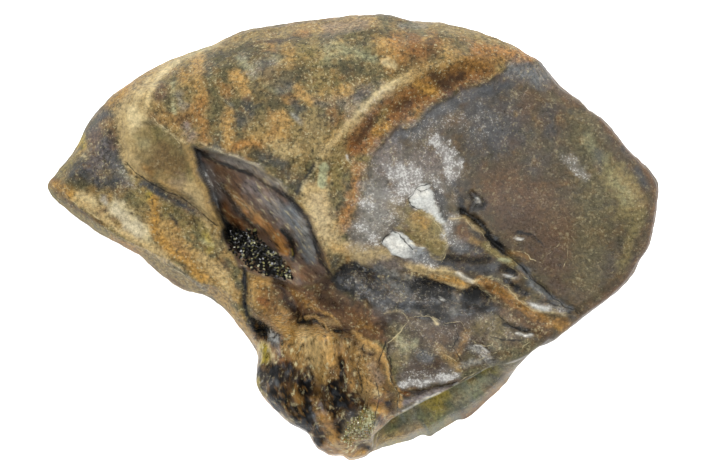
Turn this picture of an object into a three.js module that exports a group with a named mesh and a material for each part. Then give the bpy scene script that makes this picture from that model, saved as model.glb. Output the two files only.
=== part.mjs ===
// A shed fossil tooth of a triceratops, lying on its worn chewing face.
//
// One solid. +X runs along its length, +Y towards the rounded top of the crown, +Z out of the
// face with the carina. The origin is under the middle of its bounding box, on the surface
// that it lies on. All sizes are millimetres.

import * as THREE from 'three';
import { mergeVertices } from 'three/addons/utils/BufferGeometryUtils.js';

// ---- Driving dimensions ----
const TOOTH_LENGTH = 30.6;
const TOOTH_WIDTH = 22.4;
const TOOTH_THICKNESS = 11.6;
const WORN_FACE_LENGTH = 13.0;
const WORN_FACE_WIDTH = 9.0;
const WORN_FACE_UNEVENNESS = 0.07;
const CARINA_HEIGHT = 0.4;
const CARINA_HALF_WIDTH = 1.3;
const RUST_VALLEY_DEPTH = 0.2;
const RUST_VALLEY_HALF_WIDTH = 1.1;
const ENAMEL_STEP = 0.16;
const ENAMEL_STEP_WIDTH = 0.8;
const ENAMEL_STEP_STARTS_AT_Y = 0.5;
const ENAMEL_STEP_FULL_AT_Y = 3.0;
const HOLLOW_EDGE_DEPTH = 0.3;
const HOLLOW_EDGE_WIDTH = 0.7;
const HOLLOW_BOWL_DEPTH = 0.9;
const HOLLOW_BOWL_WIDTH = 2.0;
const HOLLOW_FOOT_WIDTH = 1.7;
const LOBE_HEIGHT = 0.4;
const LOBE_EDGE_WIDTH = 0.7;
const LOBE_SHOULDER = 1.7;
const BLOCK_HEIGHT = 0.35;
const BLOCK_SHOULDER = 0.5;
const BREAK_DEPTH = 0.3;
const BREAK_HALF_WIDTH = 1.3;
const FLUTE_DEPTH = 0.25;
const FLUTE_PITCH = 2.1;
const FLUTE_SLANT = 0.14;
const SECOND_FLUTE_SHARE = 0.6;
const SECOND_FLUTE_RATE = 0.57;
const MARGIN_INSET = 0.14;
const LIP_UNDERCUT = 0.35;
const LEDGE_RISE = 1.5;
const NO_LEDGE_WIDTH = 0.5;
const FULL_LEDGE_WIDTH = 1.2;
const PLAIN_FOOT_REACH = 0.45;
const PLAIN_FOOT_RISE = 0.55;
const BACK_ROUNDNESS = 1.7;
const GROOVE_DEPTH = 1.2;
const GROOVE_HALF_WIDTH = 1.5;
const RIPPLE_HEIGHT = 0.14;
const SMALL_RIPPLE_SHARE = 0.6;
const RIPPLES_END_IN_ENAMEL = 1.0;
const RIPPLES_FULL_IN_ENAMEL = -0.5;
const BACK_RIPPLE = 1.5;
const BACK_CLEARANCE = 0.05;

// ---- Mesh steps ----
const COLUMNS = 96;
const FRONT_RINGS = 34;
const MARGIN_RINGS = 4;
const BACK_RINGS = 9;
const OUTLINE_DIVISIONS = 2000;
const WELD_DISTANCE = 1e-4;

// ---- Plan of the tooth: points as [x, y], counterclockwise from the right-hand corner ----
const OUTLINE = [
  [15.3, 2.3], [15.0, 3.2], [14.4, 3.8], [13.7, 4.55], [12.55, 5.9], [11.85, 6.4], [11.5, 6.8],
  [10.45, 7.55], [9.85, 8.25], [9.4, 8.8], [8.8, 9.1], [8.1, 9.6], [7.0, 10.1], [5.95, 10.45],
  [4.55, 10.75], [3.25, 10.85], [1.75, 11.2], [0.9, 11.2], [-1.55, 11.0], [-3.85, 10.65],
  [-5.55, 10.35], [-7.05, 9.7], [-9.55, 8.75], [-10.95, 7.95], [-12.3, 6.95], [-13.25, 5.85],
  [-13.85, 4.6], [-14.6, 3.6], [-15.3, 2.8], [-15.2, 2.25], [-14.55, 1.6], [-12.95, 0.4],
  [-10.7, -0.9], [-8.75, -2.45], [-7.05, -3.05], [-5.55, -4.55], [-4.75, -5.8], [-4.8, -7.05],
  [-4.55, -7.85], [-3.35, -9.1], [-2.25, -9.8], [-1.85, -10.45], [-1.2, -10.9], [-0.5, -10.95],
  [-0.1, -11.15], [0.6, -11.0], [1.15, -10.65], [2.95, -10.2], [3.5, -9.95], [4.0, -9.95],
  [5.2, -9.15], [5.75, -9.05], [6.55, -8.45], [7.4, -7.65], [8.3, -6.55], [9.2, -5.55],
  [10.2, -5.05], [12.05, -3.6], [13.0, -2.9], [13.85, -2.05], [14.4, -1.1], [14.9, -0.2],
];

// The sharp lip of the front layer, over the ledge that is left of the layer behind it.
const LIP = [
  [0.85, -11.3], [1.1, -9.8], [1.95, -9.0], [3.55, -8.1], [5.25, -7.3], [6.8, -6.45],
  [8.5, -5.9], [9.1, -5.55], [9.8, -5.0],
];

const CARINA = [[5.7, 9.0], [4.45, 8.65], [2.0, 7.4], [0.2, 6.15], [-0.55, 5.2], [-1.6, 3.9]];
const RUST_VALLEY = [[6.2, 8.1], [3.6, 6.9], [1.5, 5.6], [-0.2, 3.9], [-1.5, 2.6]];
const BREAK = [[0.0, -2.4], [1.8, -2.9], [3.6, -3.0], [5.6, -2.7], [6.8, -3.1]];
const BACK_GROOVE = [[-10.5, -0.9], [-7.5, -3.0], [-5.0, -5.4], [-3.4, -8.6]];

// The smooth enamel, which starts with a step down from the mottled dentine.
const ENAMEL = [
  [9.4, 8.9], [7.75, 8.5], [6.5, 7.7], [5.0, 7.1], [3.4, 5.8], [1.8, 4.9], [0.8, 3.4],
  [0.7, 2.1], [-0.2, 0.4], [0.2, -1.9], [1.2, -4.4], [2.2, -6.6], [2.4, -12.0], [18.0, -12.0],
  [18.0, 8.9],
];

// The hollow of the pulp, a shallow lens: its upper right rim, its foot, then its left side.
const HOLLOW_RIM = [
  [-7.95, 4.55], [-6.5, 4.2], [-4.65, 3.5], [-3.7, 2.9], [-2.65, 1.7], [-1.85, 0.3],
  [-1.45, -0.75], [-0.9, -1.8],
];
const HOLLOW_FOOT = [[-0.9, -1.8], [-2.6, -2.45], [-4.2, -2.1], [-5.6, -1.5]];
const HOLLOW_LEFT = [[-6.3, -0.2], [-6.85, 1.55], [-7.2, 2.55], [-7.7, 3.8]];
const PULP_HOLLOW = [...HOLLOW_RIM, ...HOLLOW_FOOT.slice(1), ...HOLLOW_LEFT];

// The smooth lobe left of the hollow, first its raised lower edge.
const LOBE_EDGE = [
  [-11.55, 4.85], [-11.25, 3.85], [-10.4, 3.0], [-8.75, 2.2], [-7.45, 1.3], [-6.5, 0.35],
];
const LOBE = [
  ...LOBE_EDGE, [-6.85, 1.55], [-7.7, 3.8], [-8.05, 4.6], [-9.45, 5.5], [-10.35, 6.3],
  [-11.5, 5.9],
];

// The smooth block at the top of the root stub.
const BLOCK = [
  [-5.25, -2.1], [-4.5, -1.85], [-3.45, -2.05], [-2.45, -3.4], [-2.8, -5.25], [-4.2, -4.75],
  [-5.2, -3.55],
];

const ROOT_STUB = [
  [-4.9, -3.4], [-2.4, -3.6], [-0.2, -4.2], [1.6, -6.2], [2.2, -8.6], [0.9, -11.6], [-6.0, -11.6],
];

// Lumps and dips, as [x, y, radius, rise].
const LUMPS = [
  [-3.6, -7.9, 1.2, 0.7], [0.4, -9.3, 1.3, 0.6], [-1.4, -5.6, 1.0, 0.35], [-1.7, -9.0, 1.1, 0.45],
  [3.5, 2.0, 1.2, 0.15], [6.0, -0.2, 1.1, 0.15], [8.2, -2.6, 0.7, -0.25],
  [6.25, -3.0, 0.9, -0.25], [3.9, -2.9, 1.3, -0.3], [1.2, -2.3, 1.2, -0.2], [7.0, -1.9, 0.7, 0.2],
  [4.4, -5.3, 1.8, 0.3], [7.0, -5.6, 0.8, 0.25],
];

// ---- Spot heights of the front, as [x, y, height] ----
const FRONT_HEIGHTS = [
  [-2.6, 6.4, 10.7], [1.4, 8.9, 9.8], [-6.1, 7.9, 9.5], [-2.6, 9.4, 9.4], [-9.6, 6.9, 8.2],
  [-9.1, 3.9, 8.9], [-12.6, 4.4, 6.7], [-14.8, 2.5, 5.4], [-11.6, 1.1, 7.0], [-7.6, -1.1, 7.9],
  [-4.6, 3.6, 10.5], [-1.6, 1.9, 10.8], [-0.6, 4.9, 11.0], [2.4, 7.6, 10.6], [5.4, 8.9, 9.7],
  [4.9, 6.4, 9.7], [6.4, 3.4, 8.9], [12.4, 2.4, 8.6], [10.4, 6.4, 8.8], [13.4, -1.1, 8.2],
  [10.4, -3.1, 8.4], [3.6, 0.6, 10.2], [1.4, 1.9, 10.5], [1.4, -2.9, 9.3], [3.6, -5.4, 9.3],
  [7.4, -3.1, 9.0], [-4.1, -3.1, 9.0], [-2.1, -4.6, 9.2], [-1.6, -7.6, 8.5], [-0.1, -10.6, 6.9],
  [-3.5, -7.7, 7.9], [-4.5, -5.6, 8.2], [5.0, -7.2, 8.3],
];
const FRONT_BLEND = 1.7;

// ---- The margin all round, as [x, y, drop of the front to it, width of the drop, height of
// the outline, crease where the drop starts, from 0 rounded to 1 sharp] ----
const MARGIN_SPOTS = [
  [0.0, 11.1, 2.6, 2.6, 5.4, 0.0], [-8.0, 9.4, 2.4, 2.2, 5.2, 0.2],
  [-13.0, 6.2, 1.3, 1.4, 4.2, 0.0], [-15.3, 2.6, 0.7, 0.8, 4.1, 0.5],
  [-12.0, -0.2, 1.3, 0.6, 4.4, 1.0], [-8.7, -2.4, 1.6, 0.8, 4.3, 1.0],
  [-5.3, -4.9, 0.7, 0.6, 4.6, 0.3], [-4.7, -7.2, 0.6, 0.6, 4.2, 0.0],
  [-2.6, -9.6, 0.8, 0.9, 3.4, 0.0], [-0.1, -11.1, 0.9, 1.2, 3.2, 0.0],
  [1.8, -10.4, 0.4, 0.6, 3.4, 0.0], [4.6, -9.4, 0.2, 0.5, 3.6, 0.0],
  [8.3, -6.6, 0.2, 0.5, 4.0, 0.0], [12.0, -3.6, 0.35, 0.7, 6.0, 0.3],
  [15.2, 2.0, 0.4, 0.7, 6.8, 0.3], [12.6, 5.8, 0.4, 0.7, 6.8, 0.3],
  [9.6, 8.6, 0.7, 1.0, 6.2, 0.2], [5.9, 10.5, 1.8, 1.8, 5.4, 0.0],
];
const MARGIN_BLEND = 1.6;

// ---- Where the front and the back of the mesh have their poles ----
const FRONT_POLE = new THREE.Vector2(-0.6, 0.9);
const BACK_POLE = new THREE.Vector2(0.6, 0.8);

// ---- Helpers ----
const smooth = (low, high, value) => THREE.MathUtils.smoothstep(value, low, high);

function distanceToSegment(x, y, [ax, ay], [bx, by]) {
  const [dx, dy] = [bx - ax, by - ay];
  const along = ((x - ax) * dx + (y - ay) * dy) / (dx * dx + dy * dy);
  const share = THREE.MathUtils.clamp(along, 0, 1);
  return Math.hypot(x - ax - share * dx, y - ay - share * dy);
}

function distanceToLine(line, x, y) {
  const gaps = line.slice(1).map((end, index) => distanceToSegment(x, y, line[index], end));
  return Math.min(...gaps);
}

// Distance to the border of a region, positive inside it.
function depthInside(region, x, y) {
  let inside = false;
  region.forEach(([ax, ay], index) => {
    const [bx, by] = region[(index + 1) % region.length];
    const crosses = (ay > y) !== (by > y);
    if (crosses && x < ax + ((y - ay) * (bx - ax)) / (by - ay)) inside = !inside;
  });
  const distance = distanceToLine([...region, region[0]], x, y);
  return inside ? distance : -distance;
}

// Weighted mean of the numbers that follow x and y in each spot.
function blendSpots(spots, reach, x, y) {
  const sums = spots[0].slice(2).fill(0);
  let total = 0;
  for (const [spotX, spotY, ...values] of spots) {
    const weight = Math.exp(-((x - spotX) ** 2 + (y - spotY) ** 2) / (2 * reach * reach));
    total += weight;
    values.forEach((value, index) => { sums[index] += weight * value; });
  }
  return sums.map((sum) => sum / total);
}

// A rounded ridge or valley along a line, 1 on the line and 0 past its half width.
function bandAlong(line, halfWidth, x, y) {
  const share = Math.min(distanceToLine(line, x, y) / halfWidth, 1);
  return 0.5 + 0.5 * Math.cos(Math.PI * share);
}

// Low uneven swells of the surface.
function ripples(x, y) {
  const broad = Math.sin(1.1 * x + 0.6) * Math.sin(1.3 * y - 0.9 + 0.4 * Math.sin(0.7 * x));
  const small = Math.sin(2.1 * x - 1.5 * y) * Math.sin(1.9 * y + 1.1 * x + 2.0);
  return RIPPLE_HEIGHT * (broad + SMALL_RIPPLE_SHARE * small);
}

function lumpRise(x, y) {
  return LUMPS.reduce((total, [lumpX, lumpY, radius, rise]) => {
    const share = Math.min(Math.hypot(x - lumpX, y - lumpY) / radius, 1);
    return total + rise * (1 - share * share) ** 2;
  }, 0);
}

// Lengthwise flutes of the root, uneven in width.
function flutes(x, y) {
  const turn = (2 * Math.PI * (x + FLUTE_SLANT * y)) / FLUTE_PITCH;
  const second = Math.cos(SECOND_FLUTE_RATE * turn + 1);
  return FLUTE_DEPTH * (Math.cos(turn) + SECOND_FLUTE_SHARE * second);
}

// ---- Front face ----
function lobeRise(x, y) {
  const shoulder = smooth(LOBE_SHOULDER, 0, distanceToLine(LOBE_EDGE, x, y));
  return LOBE_HEIGHT * smooth(0, LOBE_EDGE_WIDTH, depthInside(LOBE, x, y)) * shoulder;
}

// A step down at the rim, then a bowl that is deepest on the left and runs out at its foot.
function hollowDepth(x, y) {
  const bowl = smooth(0, HOLLOW_BOWL_WIDTH, distanceToLine(HOLLOW_RIM, x, y));
  const foot = smooth(0, HOLLOW_FOOT_WIDTH, distanceToLine(HOLLOW_FOOT, x, y));
  const inside = smooth(0, HOLLOW_EDGE_WIDTH, depthInside(PULP_HOLLOW, x, y));
  return (HOLLOW_EDGE_DEPTH + HOLLOW_BOWL_DEPTH * bowl) * inside * foot;
}

function frontHeight(x, y) {
  const [spot] = blendSpots(FRONT_HEIGHTS, FRONT_BLEND, x, y);
  const enamel = depthInside(ENAMEL, x, y);
  const upperCrown = smooth(ENAMEL_STEP_STARTS_AT_Y, ENAMEL_STEP_FULL_AT_Y, y);

  let height = spot + lumpRise(x, y);
  height += ripples(x, y) * smooth(RIPPLES_END_IN_ENAMEL, RIPPLES_FULL_IN_ENAMEL, enamel);
  height += CARINA_HEIGHT * bandAlong(CARINA, CARINA_HALF_WIDTH, x, y);
  height -= RUST_VALLEY_DEPTH * bandAlong(RUST_VALLEY, RUST_VALLEY_HALF_WIDTH, x, y);
  height -= ENAMEL_STEP * smooth(0, ENAMEL_STEP_WIDTH, enamel) * upperCrown;
  height += lobeRise(x, y) - hollowDepth(x, y);
  height -= BREAK_DEPTH * bandAlong(BREAK, BREAK_HALF_WIDTH, x, y);
  height += BLOCK_HEIGHT * smooth(0, BLOCK_SHOULDER, depthInside(BLOCK, x, y));
  height += flutes(x, y) * smooth(0, 1, depthInside(ROOT_STUB, x, y));
  return height;
}

// ---- Outline, lip and margin ----
const plan = new THREE.CatmullRomCurve3(
  OUTLINE.map(([x, y]) => new THREE.Vector3(x, y, 0)),
  true,
);
plan.arcLengthDivisions = OUTLINE_DIVISIONS;

// Share of the way from the front pole to an outline point at which the front face ends.
function marginShare(edge) {
  const reach = edge.clone().sub(FRONT_POLE);
  let share = 1 - MARGIN_INSET / reach.length();
  LIP.slice(1).forEach(([bx, by], index) => {
    const start = new THREE.Vector2(...LIP[index]).sub(FRONT_POLE);
    const run = new THREE.Vector2(bx, by).sub(FRONT_POLE).sub(start);
    const turn = reach.cross(run);
    const across = reach.cross(start) / -turn;
    const along = start.cross(run) / turn;
    if (across >= 0 && across <= 1 && along > 0) share = Math.min(share, along);
  });
  return share;
}

// One column of the mesh: what stays the same from the front pole to the back pole.
function columnAt(turn) {
  const point = plan.getPointAt(turn % 1);
  const edge = new THREE.Vector2(point.x, point.y);
  const share = marginShare(edge);
  const margin = FRONT_POLE.clone().lerp(edge, share);
  const marginValues = blendSpots(MARGIN_SPOTS, MARGIN_BLEND, edge.x, edge.y);
  const [drop, dropWidth, edgeHeight, crease] = marginValues;
  const marginHeight = frontHeight(margin.x, margin.y) - drop;
  const ledge = smooth(NO_LEDGE_WIDTH, FULL_LEDGE_WIDTH, edge.distanceTo(margin));
  const bearing = edge.clone().sub(BACK_POLE).angle();
  const waves = Math.sin(2 * bearing + 0.8) + 0.7 * Math.sin(5 * bearing);
  const uneven = 1 + WORN_FACE_UNEVENNESS * waves;
  const wornEdge = new THREE.Vector2(
    BACK_POLE.x + uneven * (WORN_FACE_LENGTH / 2) * Math.cos(bearing),
    BACK_POLE.y + uneven * (WORN_FACE_WIDTH / 2) * Math.sin(bearing),
  );
  return { edge, margin, drop, dropWidth, edgeHeight, crease, marginHeight, ledge, wornEdge };
}

function frontPoint(column, share) {
  const place = FRONT_POLE.clone().lerp(column.margin, share);
  const toMargin = place.distanceTo(column.margin);
  const past = 1 - Math.min(toMargin / column.dropWidth, 1);
  const fall = THREE.MathUtils.lerp(past * past, past, column.crease);
  return [place.x, place.y, frontHeight(place.x, place.y) - column.drop * fall];
}

// From the margin down a short cliff to its foot, then out over the ledge to the outline.
function marginPoint(column, share) {
  const { edge, margin, edgeHeight, marginHeight, ledge } = column;
  const footShare = 1 / MARGIN_RINGS;
  const inward = FRONT_POLE.clone().sub(edge).normalize().multiplyScalar(LIP_UNDERCUT * ledge);
  const foot = margin.clone().lerp(edge, PLAIN_FOOT_REACH * (1 - ledge)).add(inward);
  const plainFoot = edgeHeight + PLAIN_FOOT_RISE * (marginHeight - edgeHeight);
  const footHeight = THREE.MathUtils.lerp(plainFoot, edgeHeight + LEDGE_RISE, ledge);
  const outward = (share - footShare) / (1 - footShare);
  const place = foot.lerp(edge, outward);
  const height = edgeHeight + (footHeight - edgeHeight) * Math.sqrt(1 - outward * outward);
  return [place.x, place.y, height];
}

function backPoint(column, share) {
  const place = column.edge.clone().lerp(column.wornEdge, share);
  const rise = column.edgeHeight * (1 - share) ** BACK_ROUNDNESS;
  const groove = GROOVE_DEPTH * bandAlong(BACK_GROOVE, GROOVE_HALF_WIDTH, place.x, place.y);
  const inside = Math.sin(Math.PI * share);
  const height = rise + (groove + BACK_RIPPLE * ripples(place.x, place.y)) * inside;
  return [place.x, place.y, share === 1 ? 0 : Math.max(height, BACK_CLEARANCE)];
}

// ---- The solid: a sphere whose poles face front and back, drawn out to the tooth ----
function toothPoint(column, ring) {
  if (ring <= FRONT_RINGS) return frontPoint(column, ring / FRONT_RINGS);
  const pastFront = ring - FRONT_RINGS;
  if (pastFront <= MARGIN_RINGS) return marginPoint(column, pastFront / MARGIN_RINGS);
  const pastMargin = pastFront - MARGIN_RINGS;
  if (pastMargin <= BACK_RINGS) return backPoint(column, pastMargin / BACK_RINGS);
  return [BACK_POLE.x, BACK_POLE.y, 0];
}

function fitToSize(geometry) {
  geometry.computeBoundingBox();
  const size = geometry.boundingBox.getSize(new THREE.Vector3());
  const middle = geometry.boundingBox.getCenter(new THREE.Vector3());
  geometry.translate(-middle.x, -middle.y, -geometry.boundingBox.min.z);
  geometry.scale(TOOTH_LENGTH / size.x, TOOTH_WIDTH / size.y, TOOTH_THICKNESS / size.z);
}

function makeTooth() {
  const rings = FRONT_RINGS + MARGIN_RINGS + BACK_RINGS + 1;
  const sphere = new THREE.SphereGeometry(1, COLUMNS, rings);
  const positions = sphere.attributes.position;
  for (let step = 0; step <= COLUMNS; step += 1) {
    const column = columnAt((step % COLUMNS) / COLUMNS);
    for (let ring = 0; ring <= rings; ring += 1) {
      positions.setXYZ(ring * (COLUMNS + 1) + step, ...toothPoint(column, ring));
    }
  }
  sphere.deleteAttribute('normal');
  sphere.deleteAttribute('uv');
  const geometry = mergeVertices(sphere, WELD_DISTANCE);
  fitToSize(geometry);
  geometry.computeVertexNormals();
  return geometry;
}

const toothMaterial = new THREE.MeshStandardMaterial({
  color: 0x8a7a5a,
  roughness: 0.5,
  metalness: 0,
});
const tooth = new THREE.Mesh(makeTooth(), toothMaterial);
tooth.name = 'tooth';

const part = new THREE.Group();
part.add(tooth);

export default part;
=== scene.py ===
import math

import bpy
import numpy as np
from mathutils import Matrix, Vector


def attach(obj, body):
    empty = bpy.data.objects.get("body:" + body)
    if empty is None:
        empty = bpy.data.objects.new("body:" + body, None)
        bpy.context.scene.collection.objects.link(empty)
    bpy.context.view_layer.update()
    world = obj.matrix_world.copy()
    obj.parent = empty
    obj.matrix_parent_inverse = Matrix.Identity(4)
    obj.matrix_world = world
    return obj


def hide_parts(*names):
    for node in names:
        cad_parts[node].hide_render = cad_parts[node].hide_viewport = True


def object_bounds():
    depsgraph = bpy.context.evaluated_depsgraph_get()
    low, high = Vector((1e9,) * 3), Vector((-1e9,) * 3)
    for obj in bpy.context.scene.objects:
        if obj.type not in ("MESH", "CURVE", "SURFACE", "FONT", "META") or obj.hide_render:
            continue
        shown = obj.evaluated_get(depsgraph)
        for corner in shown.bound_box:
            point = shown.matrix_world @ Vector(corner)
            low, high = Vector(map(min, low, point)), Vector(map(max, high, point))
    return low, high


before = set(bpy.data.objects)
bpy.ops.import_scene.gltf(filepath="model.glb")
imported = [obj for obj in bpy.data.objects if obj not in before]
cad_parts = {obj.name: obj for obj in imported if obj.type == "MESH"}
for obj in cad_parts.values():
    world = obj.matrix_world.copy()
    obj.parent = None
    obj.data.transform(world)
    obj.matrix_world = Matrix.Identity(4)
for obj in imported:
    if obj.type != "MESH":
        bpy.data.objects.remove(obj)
cad_low, cad_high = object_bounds()

MM = 0.001


# ==== Tooth ====
# The whole fossil is one piece: enamel and dentine turned to stone, with a stub of the root and
# a hollow where the pulp was. It is loose and lies on the flat face that chewing wore on its
# back. It is made here as a sphere drawn out to the tooth, with its poles front and back.

COLUMNS = 640
FRONT_RINGS = 124
CLIFF_RINGS = 4
MARGIN_RINGS = 8
BACK_RINGS = 22

# Plan of the tooth in millimetres, counterclockwise from the right-hand corner.
OUTLINE = [
    (15.3, 2.3), (15.0, 3.2), (14.4, 3.8), (13.7, 4.55), (12.55, 5.9), (11.85, 6.4), (11.5, 6.8),
    (10.45, 7.55), (9.85, 8.25), (9.4, 8.8), (8.8, 9.1), (8.1, 9.6), (7.0, 10.1), (5.95, 10.45),
    (4.55, 10.75), (3.25, 10.85), (1.75, 11.2), (0.9, 11.2), (-1.55, 11.0), (-3.85, 10.65),
    (-5.55, 10.35), (-7.05, 9.7), (-9.55, 8.75), (-10.95, 7.95), (-12.3, 6.95), (-13.25, 5.85),
    (-13.85, 4.6), (-14.6, 3.6), (-15.3, 2.8), (-15.2, 2.25), (-14.55, 1.6), (-12.95, 0.4),
    (-10.7, -0.9), (-8.75, -2.45), (-7.05, -3.05), (-5.55, -4.55), (-4.75, -5.8), (-4.8, -7.05),
    (-4.55, -7.85), (-3.35, -9.1), (-2.25, -9.8), (-1.85, -10.45), (-1.2, -10.9), (-0.5, -10.95),
    (-0.1, -11.15), (0.6, -11.0), (1.15, -10.65), (2.95, -10.2), (3.5, -9.95), (4.0, -9.95),
    (5.2, -9.15), (5.75, -9.05), (6.55, -8.45), (7.4, -7.65), (8.3, -6.55), (9.2, -5.55),
    (10.2, -5.05), (12.05, -3.6), (13.0, -2.9), (13.85, -2.05), (14.4, -1.1), (14.9, -0.2),
]
CURVE_STEPS = 24

# Spot heights of the front as (x, y, height).
FRONT_HEIGHTS = [
    (-2.6, 6.4, 10.7), (1.4, 8.9, 9.8), (-6.1, 7.9, 9.5), (-2.6, 9.4, 9.4), (-9.6, 6.9, 8.2),
    (-9.1, 3.9, 8.9), (-12.6, 4.4, 6.7), (-14.8, 2.5, 5.4), (-11.6, 1.1, 7.0), (-7.6, -1.1, 7.9),
    (-4.6, 3.6, 10.5), (-1.6, 1.9, 10.8), (-0.6, 4.9, 11.0), (2.4, 7.6, 10.6), (5.4, 8.9, 9.7),
    (4.9, 6.4, 9.7), (6.4, 3.4, 8.9), (12.4, 2.4, 8.6), (10.4, 6.4, 8.8), (13.4, -1.1, 8.2),
    (10.4, -3.1, 8.4), (3.6, 0.6, 10.2), (1.4, 1.9, 10.5), (1.4, -2.9, 9.3), (3.6, -5.4, 9.3),
    (7.4, -3.1, 9.0), (-4.1, -3.1, 9.0), (-2.1, -4.6, 9.2), (-1.6, -7.6, 8.5), (-0.1, -10.6, 6.9),
    (-3.5, -7.7, 7.9), (-4.5, -5.6, 8.2), (5.0, -7.2, 8.3),
]
FRONT_BLEND = 1.7

# The margin as (x, y, drop of the front to it, width of that drop, height of the outline, crease
# where the drop starts, from 0 rounded to 1 sharp).
MARGIN_SPOTS = [
    (0.0, 11.1, 2.6, 2.6, 5.4, 0.0), (-8.0, 9.4, 2.4, 2.2, 5.2, 0.2),
    (-13.0, 6.2, 1.3, 1.4, 4.2, 0.0), (-15.3, 2.6, 0.7, 0.8, 4.1, 0.5),
    (-12.0, -0.2, 1.3, 0.6, 4.4, 1.0), (-8.7, -2.4, 1.6, 0.8, 4.3, 1.0),
    (-5.3, -4.9, 0.7, 0.6, 4.6, 0.3), (-4.7, -7.2, 0.3, 0.4, 4.2, 0.0),
    (-2.6, -9.6, 0.4, 0.5, 3.4, 0.0), (-0.1, -11.1, 0.9, 1.2, 3.2, 0.0),
    (1.8, -10.4, 0.4, 0.6, 3.4, 0.0), (4.6, -9.4, 0.2, 0.5, 3.6, 0.0),
    (8.3, -6.6, 0.2, 0.5, 4.0, 0.0), (12.0, -3.6, 0.35, 0.7, 6.0, 0.3),
    (15.2, 2.0, 0.4, 0.7, 6.8, 0.3), (12.6, 5.8, 0.4, 0.7, 6.8, 0.3),
    (9.6, 8.6, 0.7, 1.0, 6.2, 0.2), (5.9, 10.5, 1.8, 1.8, 5.4, 0.0),
]
MARGIN_BLEND = 1.6
MARGIN_INSET = 0.14

# The sharp lip of the front layer, over the ledge that is left of the layer behind it. Where the
# margin is narrow there is no ledge, but a plain foot, as shares of the way out to the outline
# and up to the margin.
LIP = [
    (0.85, -11.3), (1.1, -9.8), (1.95, -9.0), (2.7, -8.6), (3.55, -8.1), (4.4, -7.75),
    (5.25, -7.3), (6.2, -6.8), (6.8, -6.45), (7.7, -6.2), (8.5, -5.9), (9.1, -5.55), (9.8, -5.0),
]
LIP_UNDERCUT = 0.35
LEDGE_RISE = 1.5
NO_LEDGE_WIDTH = 0.5
FULL_LEDGE_WIDTH = 1.2
PLAIN_FOOT_REACH = 0.45
PLAIN_FOOT_RISE = 0.55

# The back: a rounded belly with one groove, down to the worn face.
FRONT_POLE = np.array([-0.6, 0.9])
BACK_POLE = np.array([0.6, 0.8])
WORN_FACE_LENGTH = 13.0
WORN_FACE_WIDTH = 9.0
WORN_FACE_UNEVENNESS = 0.07
BACK_ROUNDNESS = 1.7
BACK_RIPPLE = 1.5
BACK_CLEARANCE = 0.05
GROOVE_DEPTH = 1.2
GROOVE_HALF_WIDTH = 1.5
BACK_GROOVE = [(-10.5, -0.9), (-7.5, -3.0), (-5.0, -5.4), (-3.4, -8.6)]

FAR = 1e9


def smooth(low, high, value):
    """0 at low and beyond it, 1 at high and beyond it, with an even curve from one to the other."""
    share = np.clip((value - low) / (high - low), 0, 1)
    return share * share * (3 - 2 * share)


def line_offset(line, x, y):
    """Distance to the nearest point of a line, positive on its left and negative on its right."""
    offset = np.full(np.shape(x), FAR)
    for (ax, ay), (bx, by) in zip(line[:-1], line[1:]):
        dx, dy = bx - ax, by - ay
        along = np.clip(((x - ax) * dx + (y - ay) * dy) / (dx * dx + dy * dy), 0, 1)
        distance = np.hypot(x - ax - along * dx, y - ay - along * dy)
        left = np.where(dx * (y - ay) - dy * (x - ax) > 0, 1, -1)
        offset = np.where(distance < np.abs(offset), left * distance, offset)
    return offset


def line_distance(line, x, y):
    """Distance to the nearest point of a line."""
    return np.abs(line_offset(line, x, y))


def depth_inside(region, x, y):
    """Distance to the border of a region, positive inside it."""
    ring = region + region[:1]
    inside = np.zeros(np.shape(x), bool)
    for (ax, ay), (bx, by) in zip(ring[:-1], ring[1:]):
        if ay != by:
            inside ^= ((ay > y) != (by > y)) & (x < ax + (y - ay) * (bx - ax) / (by - ay))
    return np.where(inside, 1, -1) * line_distance(ring, x, y)


def blend_spots(spots, reach, x, y):
    """Weighted mean of the numbers that follow x and y in each spot."""
    total, sums = 0, 0
    for spot_x, spot_y, *values in spots:
        weight = np.exp(-((x - spot_x) ** 2 + (y - spot_y) ** 2) / (2 * reach * reach))
        total = total + weight
        sums = sums + weight * np.reshape(values, (-1,) + (1,) * np.ndim(x))
    return sums / total


def ridge(line, half_width, x, y):
    """A rounded profile, 1 on the line and 0 past its half width."""
    return 0.5 + 0.5 * np.cos(np.pi * np.minimum(line_distance(line, x, y) / half_width, 1))


# Numbers that scramble the bits of a lattice corner, so that each corner has its own value.
AXIS_PRIMES = (73856093, 19349663, 83492791)
SEED_PRIME = 2654435761
SCRAMBLES = [(15, 2246822519), (13, 3266489917)]
LAST_SHIFT = 16
ALL_BITS = 0xFFFFFFFF
HALF_BITS = 0x7FFFFFFF
SEED_SPACING = 31
SWELL_STRENGTH = 0.8
OCTAVE_RATIO = 2.03


def lattice_value(corner, seed):
    """A fixed number from -1 to 1 for each corner of a cubic lattice."""
    bits = np.bitwise_xor.reduce(corner * AXIS_PRIMES, axis=-1)
    bits = (bits + seed * SEED_PRIME) & ALL_BITS
    for shift, prime in SCRAMBLES:
        bits = ((bits >> shift ^ bits) * prime) & ALL_BITS
    return (bits >> LAST_SHIFT ^ bits) / HALF_BITS - 1


def swell(places, size, seed, octaves=3):
    """Smooth random lumps about `size` millimetres across, mostly between -1 and 1."""
    total = np.zeros(places.shape[:-1])
    strength = SWELL_STRENGTH
    for octave in range(octaves):
        scaled = places / size
        low = np.floor(scaled).astype(np.int64)
        share = scaled - low
        share = share * share * (3 - 2 * share)
        for corner in np.ndindex(2, 2, 2):
            weight = np.prod(np.where(corner, share, 1 - share), axis=-1)
            total += strength * weight * lattice_value(low + corner, seed * SEED_SPACING + octave)
        size = size / OCTAVE_RATIO
        strength = strength / 2
    return total


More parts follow.
